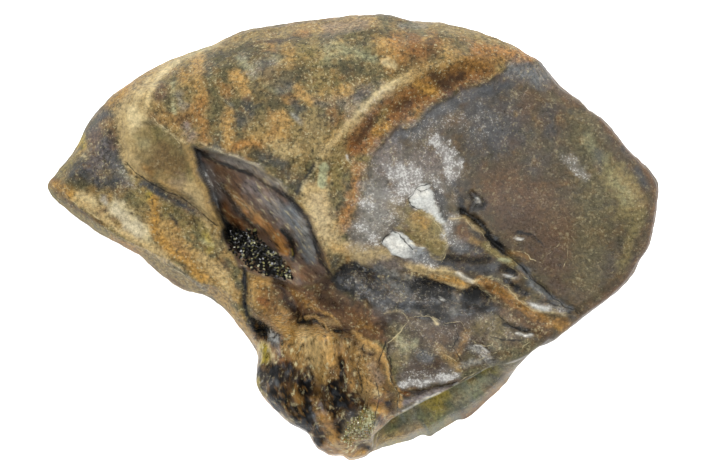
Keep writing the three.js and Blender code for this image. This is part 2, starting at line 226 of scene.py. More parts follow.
def outline_at(turn):
    """Points of the closed smooth outline at equal steps along it."""
    knots = np.array(OUTLINE)
    before, after, far = (np.roll(knots, -step, axis=0) for step in (-1, 1, 2))
    share = (np.arange(CURVE_STEPS) / CURVE_STEPS)[:, None, None]
    curve = 0.5 * (
        2 * knots
        + (after - before) * share
        + (2 * before - 5 * knots + 4 * after - far) * share**2
        + (3 * knots - before - 3 * after + far) * share**3
    )
    curve = curve.transpose(1, 0, 2).reshape(-1, 2)
    curve = np.vstack([curve, curve[:1]])
    length = np.concatenate([[0], np.cumsum(np.hypot(*np.diff(curve, axis=0).T))])
    return np.stack([np.interp(turn * length[-1], length, axis) for axis in curve.T], axis=-1)


def margin_share(edge):
    """Share of the way from the front pole to the outline at which the front face ends."""
    reach = edge - FRONT_POLE
    share = 1 - MARGIN_INSET / np.hypot(*reach.T)
    for start, end in zip(LIP[:-1], LIP[1:]):
        start, run = np.subtract(start, FRONT_POLE), np.subtract(end, start)
        turn = reach[:, 0] * run[1] - reach[:, 1] * run[0]
        along = (start[0] * run[1] - start[1] * run[0]) / turn
        across = (start[0] * reach[:, 1] - start[1] * reach[:, 0]) / turn
        met = (across >= 0) & (across <= 1) & (along > 0)
        share = np.where(met, np.minimum(share, along), share)
    return share


# Lines and regions of the front. An EDGE is the depth inside a region at which a form starts and
# the depth at which it is full.
CARINA = [(5.7, 9.0), (4.45, 8.65), (3.15, 8.1), (2.0, 7.4), (0.9, 6.75), (0.2, 6.15),
          (-0.55, 5.2), (-1.05, 4.55), (-1.6, 3.9)]
RUST_VALLEY = [(6.2, 8.1), (3.6, 6.9), (1.5, 5.6), (-0.2, 3.9), (-1.5, 2.6)]
BREAK = [(0.0, -2.4), (1.8, -2.9), (3.6, -3.0), (5.6, -2.7), (6.8, -3.1)]

# The smooth enamel, which starts with a step down from the dentine in the upper crown.
ENAMEL = [
    (9.4, 8.9), (9.05, 8.8), (7.75, 8.5), (7.25, 8.2), (6.5, 7.7), (5.55, 7.55), (5.0, 7.1),
    (4.2, 6.65), (3.6, 6.25), (3.35, 5.8), (2.9, 5.4), (2.1, 5.55), (1.75, 5.0), (1.05, 4.25),
    (0.75, 3.5), (0.75, 2.8), (0.45, 2.1), (0.25, 1.55), (0.0, 0.85), (-0.25, 0.45),
    (0.2, -1.9), (1.2, -4.4), (2.2, -6.6), (2.4, -12.0), (18.0, -12.0), (18.0, 8.9),
]
ENAMEL_STEP = 0.16
ENAMEL_STEP_EDGE = (-0.03, 0.16)
ENAMEL_STEP_STARTS_AT_Y = 0.5
ENAMEL_STEP_FULL_AT_Y = 3.0
RIPPLES_END_IN_ENAMEL = 1.0
RIPPLES_FULL_IN_ENAMEL = -0.5
RIPPLE_HEIGHT = 0.14
SMALL_RIPPLE_SHARE = 0.6

# The hollow of the pulp, a shallow lens: its upper right rim, then its foot, then its left side
# up along the edge of the lobe.
HOLLOW_RIM = [
    (-7.95, 4.55), (-6.5, 4.2), (-5.45, 3.85), (-4.65, 3.5), (-3.7, 2.9), (-3.15, 2.1),
    (-2.65, 1.7), (-2.15, 1.0), (-1.85, 0.3), (-1.45, -0.75), (-1.15, -1.45), (-0.9, -1.8),
]
HOLLOW_FOOT = [(-0.9, -1.8), (-2.6, -2.45), (-4.2, -2.1), (-5.6, -1.5)]
HOLLOW_LEFT = [
    (-5.6, -1.5), (-5.8, -1.1), (-6.3, -0.2), (-6.45, 0.55), (-6.85, 1.55), (-7.2, 2.55),
    (-7.7, 3.8),
]
PULP_HOLLOW = HOLLOW_RIM + HOLLOW_FOOT[1:] + HOLLOW_LEFT[1:]
HOLLOW_EDGE_DEPTH = 0.3
HOLLOW_EDGE_WIDTH = 0.16
HOLLOW_BOWL_DEPTH = 0.9
HOLLOW_BOWL_WIDTH = 2.0
HOLLOW_FOOT_WIDTH = 1.7

# The smooth lobe left of the hollow, first its raised lower edge.
LOBE_EDGE = [
    (-11.55, 4.85), (-11.25, 3.85), (-10.4, 3.0), (-9.55, 2.5), (-8.75, 2.2), (-8.05, 1.8),
    (-7.45, 1.3), (-6.75, 0.75), (-6.5, 0.35),
]
LOBE = LOBE_EDGE + [
    (-6.85, 1.55), (-7.2, 2.55), (-7.7, 3.8), (-8.05, 4.6), (-8.8, 5.1), (-9.45, 5.5),
    (-10.35, 6.3), (-11.5, 5.9),
]
LOBE_HEIGHT = 0.4
LOBE_EDGE_WIDTH = 0.2
LOBE_SHOULDER = 1.7
LOBE_LIP_HEIGHT = 0.15
LOBE_LIP_EDGE_WIDTH = 0.15
LOBE_LIP_HALF_WIDTH = 0.6

# The stub of the root, with flutes and with fibres that fan out from above it.
ROOT_STUB = [
    (-4.9, -3.4), (-2.4, -3.6), (-0.2, -4.2), (1.6, -6.2), (2.2, -8.6), (0.9, -11.6), (-6.0, -11.6),
]
FLUTE_DEPTH = 0.25
FLUTE_PITCH = 2.1
FLUTE_SLANT = 0.14
SECOND_FLUTE_SHARE = 0.6
SECOND_FLUTE_RATE = 0.57
FIBRE_ORIGIN = (-1.6, 1.0)
FIBRE_HEIGHT = 0.06
FIBRE_EDGE = (-0.8, 0.4)
FIBRE_SIZE = 0.6
FIBRE_SPREAD = 9
FIBRE_STRETCH = 0.45
STUB_LUMP_HEIGHT = 0.07
STUB_LUMP_SIZE = 0.5
STUB_LUMP_EDGE = (-0.8, 0.2)
STUB_WRINKLES = [
    [(-2.9, -2.7), (-2.3, -3.05), (-1.9, -3.2)],
    [(-2.3, -3.35), (-1.6, -3.5), (-1.0, -3.8), (-0.6, -4.3)],
    [(-2.4, -3.95), (-1.8, -3.9), (-1.3, -4.35), (-0.9, -4.85)],
    [(-3.1, -4.3), (-2.6, -4.6), (-2.2, -4.5)],
]

# The smooth block at the top of the stub with the black seam beside it, and the slab at its side.
GOLDEN_BLOCK = [
    (-5.25, -2.1), (-4.5, -1.85), (-3.45, -2.05), (-2.8, -2.6), (-2.45, -3.4), (-2.6, -4.35),
    (-2.8, -5.25), (-3.4, -5.2), (-4.2, -4.75), (-4.8, -4.2), (-5.2, -3.55),
]
BLACK_SEAM = [(-5.5, -1.6), (-5.35, -2.0), (-5.35, -2.8), (-5.45, -3.5), (-5.2, -4.0),
              (-4.5, -4.6), (-3.85, -5.0)]
SLAB = [
    (0.1, -4.7), (0.7, -4.3), (1.5, -5.7), (1.9, -6.6), (2.2, -7.6), (2.0, -8.6), (0.9, -8.0),
    (0.1, -7.0), (-0.1, -5.8),
]

# Chips of enamel that stand proud: two pale flakes and a khaki leaf.
FLAKES = [
    [(2.8, 2.05), (3.1, 2.35), (3.35, 2.7), (3.75, 2.65), (3.95, 2.3), (4.05, 1.7), (4.35, 1.2),
     (4.6, 0.75), (4.3, 0.8), (3.9, 1.1), (3.5, 1.4), (3.1, 1.4), (2.9, 1.75)],
    [(1.45, -0.15), (1.85, 0.1), (1.95, 0.4), (2.3, 0.3), (2.55, 0.25), (2.9, -0.1), (3.2, -0.35),
     (3.6, -0.4), (3.5, -0.8), (3.1, -1.0), (2.5, -1.0), (1.95, -0.85), (1.7, -0.4)],
]
LEAF = [
    (2.75, 1.85), (2.95, 1.4), (3.45, 1.4), (3.85, 1.1), (4.25, 0.75), (4.55, 0.2), (4.72, -0.2),
    (4.6, -0.65), (4.35, -0.95), (4.0, -0.9), (3.75, -0.5), (3.55, -0.3), (3.0, -0.05),
    (2.6, 0.25), (2.15, 0.5), (2.5, 0.85), (2.85, 1.05), (2.4, 1.5),
]
CHIP_STEP_WIDTH = 0.07
CHIP_HEIGHT = 0.08

# Cracks, the ledge along the pale vein, and folds near the lower edge.
MAIN_CRACK = [(5.4, 1.4), (6.4, 0.6), (6.95, -0.15), (7.7, -0.75), (8.3, -1.35), (8.95, -2.0),
              (10.0, -3.0), (11.2, -3.7)]
UPPER_CRACK = [(5.9, 2.3), (6.1, 1.9), (5.8, 1.3), (6.4, 0.6)]
VEIN_LEDGE = [(3.2, -1.4), (4.1, -1.6), (5.2, -1.7), (6.0, -2.3), (7.2, -2.3), (8.3, -3.1),
              (9.7, -3.6), (11.0, -3.8)]
LIP_SLOT = [(2.45, -7.7), (3.5, -7.55), (4.3, -7.35), (5.15, -7.2)]
CORNER_FOLD = [(7.7, -4.3), (8.3, -4.65), (9.1, -4.85)]

# The rough face below the crack, where a piece broke away.
BROKEN_FACE = [
    (-0.3, -1.2), (3.2, -1.3), (5.2, -1.7), (6.0, -1.4), (7.2, -1.2), (9.2, -3.0), (11.0, -3.9),
    (8.5, -5.9), (3.5, -8.1), (2.2, -8.0), (2.0, -5.5), (0.2, -4.2),
]
BROKEN_LUMP_HEIGHT = 0.07
BROKEN_LUMP_SIZE = 0.6
BROKEN_LUMP_EDGE = (0, 0.4)

# Dips and rises of the stub, the enamel and the broken face as (x, y, radius, rise).
LUMPS = [
    (-3.9, -7.5, 1.3, 0.55), (-2.9, -8.7, 0.9, 0.4), (0.4, -9.3, 1.3, 0.6), (-1.4, -5.6, 1.0, 0.35),
    (-1.7, -9.0, 1.1, 0.45),
    (3.5, 2.0, 1.2, 0.15), (6.0, -0.2, 1.1, 0.15), (6.2, 1.8, 0.45, 0.16), (7.85, -1.7, 0.6, -0.2),
    (8.2, -2.6, 0.7, -0.25), (6.25, -3.0, 0.9, -0.25), (5.4, -1.1, 0.8, -0.12),
    (3.9, -2.9, 1.3, -0.3), (1.2, -2.3, 1.2, -0.2), (7.0, -1.9, 0.7, 0.2), (4.4, -5.3, 1.8, 0.3),
    (9.6, -3.4, 0.5, 0.12), (7.0, -5.6, 0.8, 0.25), (7.9, -5.0, 0.6, 0.15),
]

# Ridges and grooves as (line, half width, rise).
RIDGES = [
    (CARINA, 1.0, 0.3), (CARINA, 0.35, 0.12), (RUST_VALLEY, 1.1, -0.2), (BREAK, 1.3, -0.3),
    (HOLLOW_RIM, 0.3, 0.1), (BLACK_SEAM, 0.28, -0.3), (MAIN_CRACK, 0.17, -0.28),
    (UPPER_CRACK, 0.2, -0.2), (VEIN_LEDGE, 0.25, 0.13), (LIP_SLOT, 0.14, -0.2),
    (CORNER_FOLD, 0.2, -0.2), *[(wrinkle, 0.14, 0.12) for wrinkle in STUB_WRINKLES],
]

# Raised regions as (region, width of the step up, rise).
RAISED_REGIONS = [
    (GOLDEN_BLOCK, 0.35, 0.35), (SLAB, 0.25, 0.12),
    *[(chip, CHIP_STEP_WIDTH, CHIP_HEIGHT) for chip in FLAKES + [LEAF]],
]

EDGE_WANDER = 0.07
EDGE_WANDER_SIZE = 0.9


def ripples(x, y):
    """Low uneven swells of the dentine."""
    broad = np.sin(1.1 * x + 0.6) * np.sin(1.3 * y - 0.9 + 0.4 * np.sin(0.7 * x))
    small = np.sin(2.1 * x - 1.5 * y) * np.sin(1.9 * y + 1.1 * x + 2.0)
    return RIPPLE_HEIGHT * (broad + SMALL_RIPPLE_SHARE * small)


def flutes(x, y):
    """Lengthwise flutes of the root, uneven in width."""
    turn = 2 * np.pi * (x + FLUTE_SLANT * y) / FLUTE_PITCH
    second = np.cos(SECOND_FLUTE_RATE * turn + 1.0)
    return FLUTE_DEPTH * (np.cos(turn) + SECOND_FLUTE_SHARE * second)


def fanned(x, y, z, spread, stretch):
    """Places for noise that draw it out into fibres down the stub, fanned about their origin."""
    bearing = np.arctan2(x - FIBRE_ORIGIN[0], FIBRE_ORIGIN[1] - y)
    reach = np.hypot(x - FIBRE_ORIGIN[0], y - FIBRE_ORIGIN[1])
    return np.stack([bearing * spread, reach * stretch, z], axis=-1)


def fibres(x, y, seed):
    """Random streaks that fan out down the stub, from -1 to 1."""
    return swell(fanned(x, y, 0 * x, FIBRE_SPREAD, FIBRE_STRETCH), FIBRE_SIZE, seed)


def lobe_rise(x, y):
    """The lobe, highest along its lower edge, with a low lip beside the hollow."""
    inside = depth_inside(LOBE, x, y)
    body = smooth(0, LOBE_EDGE_WIDTH, inside)
    body = body * smooth(LOBE_SHOULDER, 0, line_distance(LOBE_EDGE, x, y))
    lip = smooth(0, LOBE_LIP_EDGE_WIDTH, inside) * ridge(HOLLOW_LEFT, LOBE_LIP_HALF_WIDTH, x, y)
    return LOBE_HEIGHT * body + LOBE_LIP_HEIGHT * lip


def hollow_depth(x, y):
    """A step down at the rim, then a bowl, which runs out at its foot."""
    step = smooth(0, HOLLOW_EDGE_WIDTH, depth_inside(PULP_HOLLOW, x, y))
    bowl = smooth(0, HOLLOW_BOWL_WIDTH, line_distance(HOLLOW_RIM, x, y))
    above_foot = smooth(0, HOLLOW_FOOT_WIDTH, line_distance(HOLLOW_FOOT, x, y))
    return (HOLLOW_EDGE_DEPTH + HOLLOW_BOWL_DEPTH * bowl) * step * above_foot


def stub_relief(x, y, flat):
    """Flutes, fibres and small lumps of the root stub."""
    inside = depth_inside(ROOT_STUB, x, y)
    relief = flutes(x, y) * smooth(0, 1, inside)
    relief += FIBRE_HEIGHT * fibres(x, y, 5) * smooth(*FIBRE_EDGE, inside)
    lumps = swell(flat, STUB_LUMP_SIZE, 7, 2) * smooth(*STUB_LUMP_EDGE, inside)
    return relief + STUB_LUMP_HEIGHT * lumps


def front_height(x, y):
    """Height of the front above the ground."""
    flat = np.stack([x, y, 0 * x], axis=-1)
    height = blend_spots(FRONT_HEIGHTS, FRONT_BLEND, x, y)[0]
    x = x + EDGE_WANDER * swell(flat, EDGE_WANDER_SIZE, 3)
    y = y + EDGE_WANDER * swell(flat, EDGE_WANDER_SIZE, 4)
    for lump_x, lump_y, radius, rise in LUMPS:
        nearness = 1 - np.minimum(np.hypot(x - lump_x, y - lump_y) / radius, 1) ** 2
        height = height + rise * nearness**2
    for line, half_width, rise in RIDGES:
        height += rise * ridge(line, half_width, x, y)
    for region, step_width, rise in RAISED_REGIONS:
        height += rise * smooth(0, step_width, depth_inside(region, x, y))
    enamel = depth_inside(ENAMEL, x, y)
    height += ripples(x, y) * smooth(RIPPLES_END_IN_ENAMEL, RIPPLES_FULL_IN_ENAMEL, enamel)
    upper_crown = smooth(ENAMEL_STEP_STARTS_AT_Y, ENAMEL_STEP_FULL_AT_Y, y)
    height -= ENAMEL_STEP * smooth(*ENAMEL_STEP_EDGE, enamel) * upper_crown
    height += lobe_rise(x, y) - hollow_depth(x, y) + stub_relief(x, y, flat)
    on_broken_face = smooth(*BROKEN_LUMP_EDGE, depth_inside(BROKEN_FACE, x, y))
    return height + BROKEN_LUMP_HEIGHT * swell(flat, BROKEN_LUMP_SIZE, 8, 2) * on_broken_face


edge = outline_at(np.arange(COLUMNS) / COLUMNS)
margin = FRONT_POLE + (edge - FRONT_POLE) * margin_share(edge)[:, None]
drop, drop_width, edge_height, crease = blend_spots(MARGIN_SPOTS, MARGIN_BLEND, *edge.T)
margin_height = front_height(*margin.T) - drop
ledge = smooth(NO_LEDGE_WIDTH, FULL_LEDGE_WIDTH, np.hypot(*(edge - margin).T))


def front_rings():
    """From the front pole out to the margin."""
    share = (np.arange(1, FRONT_RINGS + 1) / FRONT_RINGS)[:, None]
    plan = FRONT_POLE + (margin - FRONT_POLE) * share[..., None]
    past = 1 - np.minimum(np.hypot(*(plan - margin).transpose(2, 0, 1)) / drop_width, 1)
    height = front_height(plan[..., 0], plan[..., 1])
    height -= drop * (crease * past + (1 - crease) * past**2)
    return np.dstack([plan, height])


def margin_rings():
    """From the margin down a short cliff to its foot, then out over the ledge to the outline."""
    inward = (FRONT_POLE - edge) / np.hypot(*(edge - FRONT_POLE).T)[:, None]
    foot = margin + (edge - margin) * PLAIN_FOOT_REACH * (1 - ledge)[:, None]
    foot = foot + inward * (LIP_UNDERCUT * ledge)[:, None]
    plain_height = edge_height + PLAIN_FOOT_RISE * (margin_height - edge_height)
    foot_height = plain_height + (edge_height + LEDGE_RISE - plain_height) * ledge
    ring = np.arange(1, MARGIN_RINGS + 1)[:, None]
    fall = np.clip(ring / CLIFF_RINGS, 0, 1)
    out = np.clip((ring - CLIFF_RINGS) / (MARGIN_RINGS - CLIFF_RINGS), 0, 1)
    plan = margin + (foot - margin) * fall[..., None] + (edge - foot) * out[..., None]
    height = margin_height + (foot_height - margin_height) * fall
    height = height + (edge_height - foot_height) * (1 - np.sqrt(1 - out**2))
    return np.dstack([plan, height])


def back_rings():
    """From the outline in to the edge of the worn face."""
    bearing = np.arctan2(*(edge - BACK_POLE).T[::-1])
    uneven = 1 + WORN_FACE_UNEVENNESS * (np.sin(2 * bearing + 0.8) + 0.7 * np.sin(5 * bearing))
    half_size = np.array([WORN_FACE_LENGTH / 2, WORN_FACE_WIDTH / 2])
    outward = np.stack([np.cos(bearing), np.sin(bearing)], axis=-1)
    worn_edge = BACK_POLE + uneven[:, None] * half_size * outward
    share = (np.arange(1, BACK_RINGS + 1) / BACK_RINGS)[:, None]
    plan = edge + (worn_edge - edge) * share[..., None]
    groove = GROOVE_DEPTH * ridge(BACK_GROOVE, GROOVE_HALF_WIDTH, plan[..., 0], plan[..., 1])
    relief = groove + BACK_RIPPLE * ripples(plan[..., 0], plan[..., 1])
    height = edge_height * (1 - share) ** BACK_ROUNDNESS + relief * np.sin(np.pi * share)
    height = np.where(share == 1, 0, np.maximum(height, BACK_CLEARANCE))
    return np.dstack([plan, height])


def surface_normals(grid):
    """Unit normals of a grid of points whose last column joins its first."""
    down = np.gradient(grid, axis=0)
    along = np.roll(grid, -1, axis=1) - np.roll(grid, 1, axis=1)
    normal = np.cross(down, along)
    return normal / np.maximum(np.linalg.norm(normal, axis=-1, keepdims=True), 1 / FAR)


# Small lumps all over as (height, size, seed, octaves). Polished regions have less of them.
ROUGH_LUMPS = [(0.05, 0.9, 1, 3), (0.03, 0.25, 2, 2)]
BROAD_LUMP_HEIGHT = 0.03
BROAD_LUMP_SIZE = 1.6
POLISHED_REGIONS = [ENAMEL, PULP_HOLLOW, LOBE, GOLDEN_BLOCK]
POLISH = 0.8
POLISH_EDGE = (-0.2, 0.3)

surface = np.concatenate([front_rings(), margin_rings(), back_rings()])
ring_count = len(surface)
on_front = (np.arange(ring_count) < FRONT_RINGS)[:, None]
polished_depth = np.maximum.reduce([
    depth_inside(region, surface[..., 0], surface[..., 1]) for region in POLISHED_REGIONS])
relief = sum(height * swell(surface, size, seed, octaves)
             for height, size, seed, octaves in ROUGH_LUMPS)
relief *= 1 - POLISH * on_front * smooth(*POLISH_EDGE, polished_depth)
relief += BROAD_LUMP_HEIGHT * swell(surface, BROAD_LUMP_SIZE, 6)
relief[-1] = 0
surface = surface + surface_normals(surface) * relief[..., None]

# The mesh, scaled to fill the solid's box: a fan at each pole and rings of quads between them.
front_pole = [*FRONT_POLE, surface[0, :, 2].mean()]
places = np.vstack([[front_pole], surface.reshape(-1, 3), [[*BACK_POLE, 0.0]]])
low, high = places.min(axis=0), places.max(axis=0)
cad_size = np.subtract(cad_high, cad_low)
points = np.array(cad_low) + (places - low) / (high - low) * cad_size

ring, column = np.meshgrid(np.arange(ring_count - 1), np.arange(COLUMNS), indexing="ij")
following = (column + 1) % COLUMNS
quads = np.stack([
    ring * COLUMNS + column, (ring + 1) * COLUMNS + column,
    (ring + 1) * COLUMNS + following, ring * COLUMNS + following], axis=-1).reshape(-1, 4) + 1
column = np.arange(COLUMNS)
following = (column + 1) % COLUMNS
last = (ring_count - 1) * COLUMNS + 1
back_pole = np.full_like(column, len(points) - 1)
front_fan = np.stack([np.zeros_like(column), column + 1, following + 1], axis=-1)
back_fan = np.stack([last + column, back_pole, last + following], axis=-1)

mesh = bpy.data.meshes.new("tooth_skin")
mesh.from_pydata(points.tolist(), [], front_fan.tolist() + quads.tolist() + back_fan.tolist())
mesh.polygons.foreach_set("use_smooth", [True] * len(mesh.polygons))
mesh.validate()
tooth = bpy.data.objects.new("tooth_skin", mesh)
bpy.context.collection.objects.link(tooth)

# Pigments of the fossil, by name.
PIGMENTS = {
    "black": "#0B0C0D", "soot": "#1A1A19", "ink": "#26292C", "slate": "#3D4044",
    "steel": "#5F6467", "ash": "#85837A", "silver": "#C4C5BF", "white": "#E2E0D6",
    "cream": "#D2C193", "pale tan": "#B39C6C", "honey": "#B18B50", "tan": "#9C7F4C",
    "sand": "#85734B", "khaki": "#75693F", "olive": "#5C573B", "dark olive": "#3E3C2A",
    "moss": "#666A45", "pale green": "#A6A883", "mustard": "#9C8A32", "gold": "#A8803E",
    "amber": "#83602E", "orange": "#9A6B36", "rust": "#764B24", "brown": "#5A3F26",
    "dark brown": "#3C2A1B", "umber": "#21150D", "enamel brown": "#4C4130", "mauve": "#58463A",
    "lilac": "#7B7270",
}

# Colours wander off their lines and borders, and more so down the steep sides.
SIDE_WANDER_DEPTH = 1.5
SIDE_FADE_RINGS = 3
LEDGE_BLEND_COLUMNS = 8
RAGGED_SHARE = 0.8


def tone(colour):
    """Linear light values of a hex colour."""
    shown = np.array([int(colour[start:start + 2], 16) for start in (1, 3, 5)]) / 255
    return np.where(shown <= 0.04045, shown / 12.92, ((shown + 0.055) / 1.055) ** 2.4)


def by_vertex(grid, at_front_pole=0, at_back_pole=0):
    """One value for each vertex, from one for each ring and column and one for each pole."""
    whole_grid = np.broadcast_to(grid, (ring_count, COLUMNS))
    return np.concatenate([[at_front_pole], whole_grid.ravel(), [at_back_pole]])


def drift(distance, size, seeds, octaves=3):
    """Random shifts in x and y, one for each vertex."""
    return distance * np.stack([swell(places, size, seed, octaves) for seed in seeds], axis=-1)


ring_number = by_vertex(np.arange(1, ring_count + 1)[:, None], 0, ring_count + 1)
side_depth = np.clip(surface[FRONT_RINGS - 1, :, 2] - surface[:, :, 2], 0, SIDE_WANDER_DEPTH)
side_depth[:FRONT_RINGS] = 0
wander = drift(distance=0.1, size=0.7, seeds=(11, 12))
wander += drift(distance=0.05, size=0.2, seeds=(13, 14), octaves=2)
wander += by_vertex(side_depth)[:, None] * drift(distance=0.5, size=1.1, seeds=(16, 17), octaves=2)
spot_x, spot_y = (places[:, :2] + wander).T
ragged = swell(places, 0.3, 15, 3)
shown_rings = FRONT_RINGS + MARGIN_RINGS
seen_from_front = smooth(shown_rings + SIDE_FADE_RINGS, shown_rings, ring_number)
skin = np.zeros((len(places), 3))
frost_and_sheen = np.zeros(len(places))


def lay(pigment, mask):
    """Covers the skin with a pigment where the mask is 1."""
    skin[:] += (tone(PIGMENTS[pigment]) - skin) * np.clip(mask, 0, 1)[:, None]


def brush(line, half_width, softness):
    """1 within the half width of a line, with a soft and ragged edge."""
    distance = line_distance(line, spot_x, spot_y) + RAGGED_SHARE * softness * ragged
    return smooth(half_width + softness, half_width - softness, distance) * seen_from_front


def paint(strokes):
    """Lays strokes given as (pigment, strength, half width, softness, points)."""
    for pigment, strength, half_width, softness, line in strokes:
        lay(pigment, strength * brush(line, half_width, softness))


def mottle(mottles, where=1):
    """Lays random spots given as (pigment, strength, size, seed, start, full), where the last
    two are the values of the noise at which a spot starts and is full."""
    for pigment, strength, size, seed, start, full in mottles:
        lay(pigment, strength * where * smooth(start, full, swell(places, size, seed)))


def within(region, start, full):
    """0 at the first depth inside a region and 1 at the second, and 0 on the back."""
    return smooth(start, full, depth_inside(region, spot_x, spot_y)) * seen_from_front


# Olive and tan dentine all round, mottled with orange, slate and pale mineral.
DENTINE_MOTTLES = [
    ("sand", 0.9, 1.1, 21, -0.3, 0.4), ("dark olive", 0.8, 0.9, 22, 0.05, 0.5),
    ("slate", 0.6, 1.2, 23, 0.2, 0.6), ("tan", 0.8, 0.8, 24, 0.1, 0.55),
    ("orange", 0.5, 1.0, 25, 0.25, 0.6),
]

# The mottled dome of the crown, and the khaki that dulls it.
DOME = [
    ("honey", 0.8, 0.3, 0.25, [(-7.7, 9.0), (-7.7, 8.2), (-7.6, 7.4), (-7.4, 6.9)]),
    ("orange", 0.7, 0.25, 0.25, [(-7.4, 6.9), (-7.7, 6.3), (-7.4, 5.6), (-7.3, 4.9)]),
    ("gold", 0.8, 0.25, 0.2, [(-8.4, 8.3), (-8.3, 7.8)]),
    ("dark olive", 0.85, 0.45, 0.3, [(-6.8, 9.2), (-5.8, 9.2), (-5.0, 9.4)]),
    ("olive", 0.7, 0.3, 0.25, [(-6.9, 8.0), (-6.8, 7.2), (-6.7, 6.2), (-6.8, 5.3)]),
    ("orange", 0.7, 0.25, 0.25, [(-6.4, 7.6), (-6.2, 7.1)]),
    ("honey", 0.95, 0.3, 0.2, [(-5.9, 8.1), (-5.5, 7.7), (-5.35, 7.2)]),
    ("pale green", 0.6, 0.18, 0.2, [(-5.4, 8.8), (-5.0, 8.5), (-4.9, 8.1)]),
    ("pale green", 0.5, 0.15, 0.2, [(-4.0, 8.9), (-3.5, 8.8)]),
    ("slate", 0.55, 0.6, 0.4, [(-4.3, 8.4), (-4.0, 7.7), (-3.2, 7.9)]),
    ("pale green", 0.5, 0.15, 0.15, [(-4.4, 7.6), (-3.8, 7.3)]),
    ("sand", 0.6, 0.3, 0.3, [(-4.6, 7.6), (-4.2, 7.0)]),
    ("steel", 0.5, 0.25, 0.2, [(-3.6, 7.4), (-3.2, 7.4)]),
    ("dark olive", 0.95, 0.35, 0.25, [(-4.0, 6.7), (-3.7, 6.5)]),
    ("dark olive", 0.4, 0.4, 0.3, [(-4.5, 7.2), (-3.0, 8.3)]),
    ("slate", 0.85, 0.3, 0.25, [(-5.3, 6.8), (-5.1, 6.1), (-5.3, 5.7)]),
    ("steel", 0.5, 0.12, 0.15, [(-6.2, 6.8), (-6.0, 6.6)]),
    ("sand", 0.8, 0.35, 0.3, [(-4.9, 5.5), (-4.2, 5.6)]),
    ("honey", 0.9, 0.3, 0.2, [(-3.5, 6.0), (-3.2, 5.7), (-3.5, 5.1)]),
    ("honey", 0.9, 0.28, 0.2, [(-6.15, 6.2), (-6.1, 5.4), (-6.1, 4.6)]),
    ("orange", 0.9, 0.28, 0.2, [(-5.7, 4.5), (-5.1, 4.7), (-4.5, 4.6)]),
    ("tan", 0.7, 0.25, 0.2, [(-3.2, 9.5), (-3.2, 8.7)]),
    ("ink", 0.85, 0.12, 0.12, [(-4.6, 9.8), (-3.8, 9.75), (-3.3, 9.8), (-2.9, 10.0)]),
    ("pale green", 0.4, 0.5, 0.35, [(-1.2, 9.2), (-0.4, 9.4)]),
    ("dark olive", 0.6, 0.25, 0.25, [(-0.3, 9.8), (0.3, 9.7)]),
    ("dark olive", 0.75, 0.4, 0.3, [(-2.4, 8.6), (-2.5, 7.9)]),
    ("honey", 0.8, 0.25, 0.2, [(-2.6, 7.3), (-2.1, 6.7)]),
    ("slate", 0.7, 0.25, 0.2, [(-2.8, 6.6), (-2.6, 6.3)]),
    ("silver", 0.5, 0.1, 0.12, [(-2.9, 6.1), (-2.5, 5.7)]),
    ("sand", 0.8, 0.5, 0.35, [(-2.7, 5.2), (-1.6, 5.6), (-2.1, 4.6)]),
    ("honey", 0.6, 0.25, 0.25, [(-0.9, 7.0), (-0.3, 7.3)]),
    ("orange", 0.6, 0.25, 0.25, [(-0.9, 6.3), (-0.8, 5.6)]),
    ("dark olive", 0.7, 0.35, 0.3, [(-0.4, 8.6), (0.4, 8.3), (0.8, 7.9)]),
    ("soot", 0.9, 0.1, 0.1, [(-0.3, 8.25), (0.0, 8.35)]),
    ("lilac", 0.4, 0.3, 0.3, [(-1.6, 6.8), (0.0, 6.6), (0.4, 7.3)]),
    ("honey", 0.8, 0.35, 0.25, [(1.4, 9.9), (2.0, 9.4), (1.8, 8.7)]),
    ("cream", 0.8, 0.14, 0.15, [(1.6, 8.7), (2.1, 8.6)]),
    ("orange", 0.7, 0.3, 0.25, [(2.1, 9.9), (2.4, 9.2), (2.6, 8.6)]),
    ("rust", 0.85, 0.4, 0.3, [(2.9, 9.8), (3.3, 9.3), (4.1, 9.5)]),
    ("dark brown", 0.7, 0.2, 0.2, [(3.9, 9.6), (4.1, 9.1)]),
    ("dark olive", 0.6, 0.3, 0.25, [(2.3, 8.1), (3.0, 8.7)]),
    ("dark olive", 0.7, 0.25, 0.2, [(0.6, 10.2), (1.8, 10.3)]),
    ("tan", 0.7, 0.3, 0.25, [(4.6, 9.3), (5.4, 9.2)]),
    ("dark brown", 0.4, 0.3, 0.3, [(5.2, 9.9), (6.0, 9.6)]),
    ("dark olive", 0.9, 0.4, 0.25, [(-4.8, 4.05), (-3.9, 3.85), (-3.3, 3.3), (-2.9, 2.8)]),
    ("slate", 0.7, 0.3, 0.25, [(-4.4, 4.0), (-3.6, 3.7), (-2.9, 2.9)]),
    ("sand", 0.7, 0.25, 0.2, [(-3.0, 4.1), (-2.5, 3.9), (-2.9, 3.3)]),
    ("pale tan", 0.75, 0.3, 0.25, [(-4.1, 4.6), (-3.4, 4.4), (-2.8, 4.3)]),
    ("honey", 0.5, 0.3, 0.3, [(-5.0, 4.9), (-4.2, 5.1)]),
    ("khaki", 0.6, 0.4, 0.3, [(-2.4, 9.3), (-1.8, 8.7)]),
    ("pale green", 0.5, 0.2, 0.2, [(0.3, 9.2), (1.0, 8.9)]),
    ("khaki", 0.6, 0.35, 0.3, [(-1.8, 7.6), (-1.0, 7.9)]),
]
DOME_HAZE = 0.14

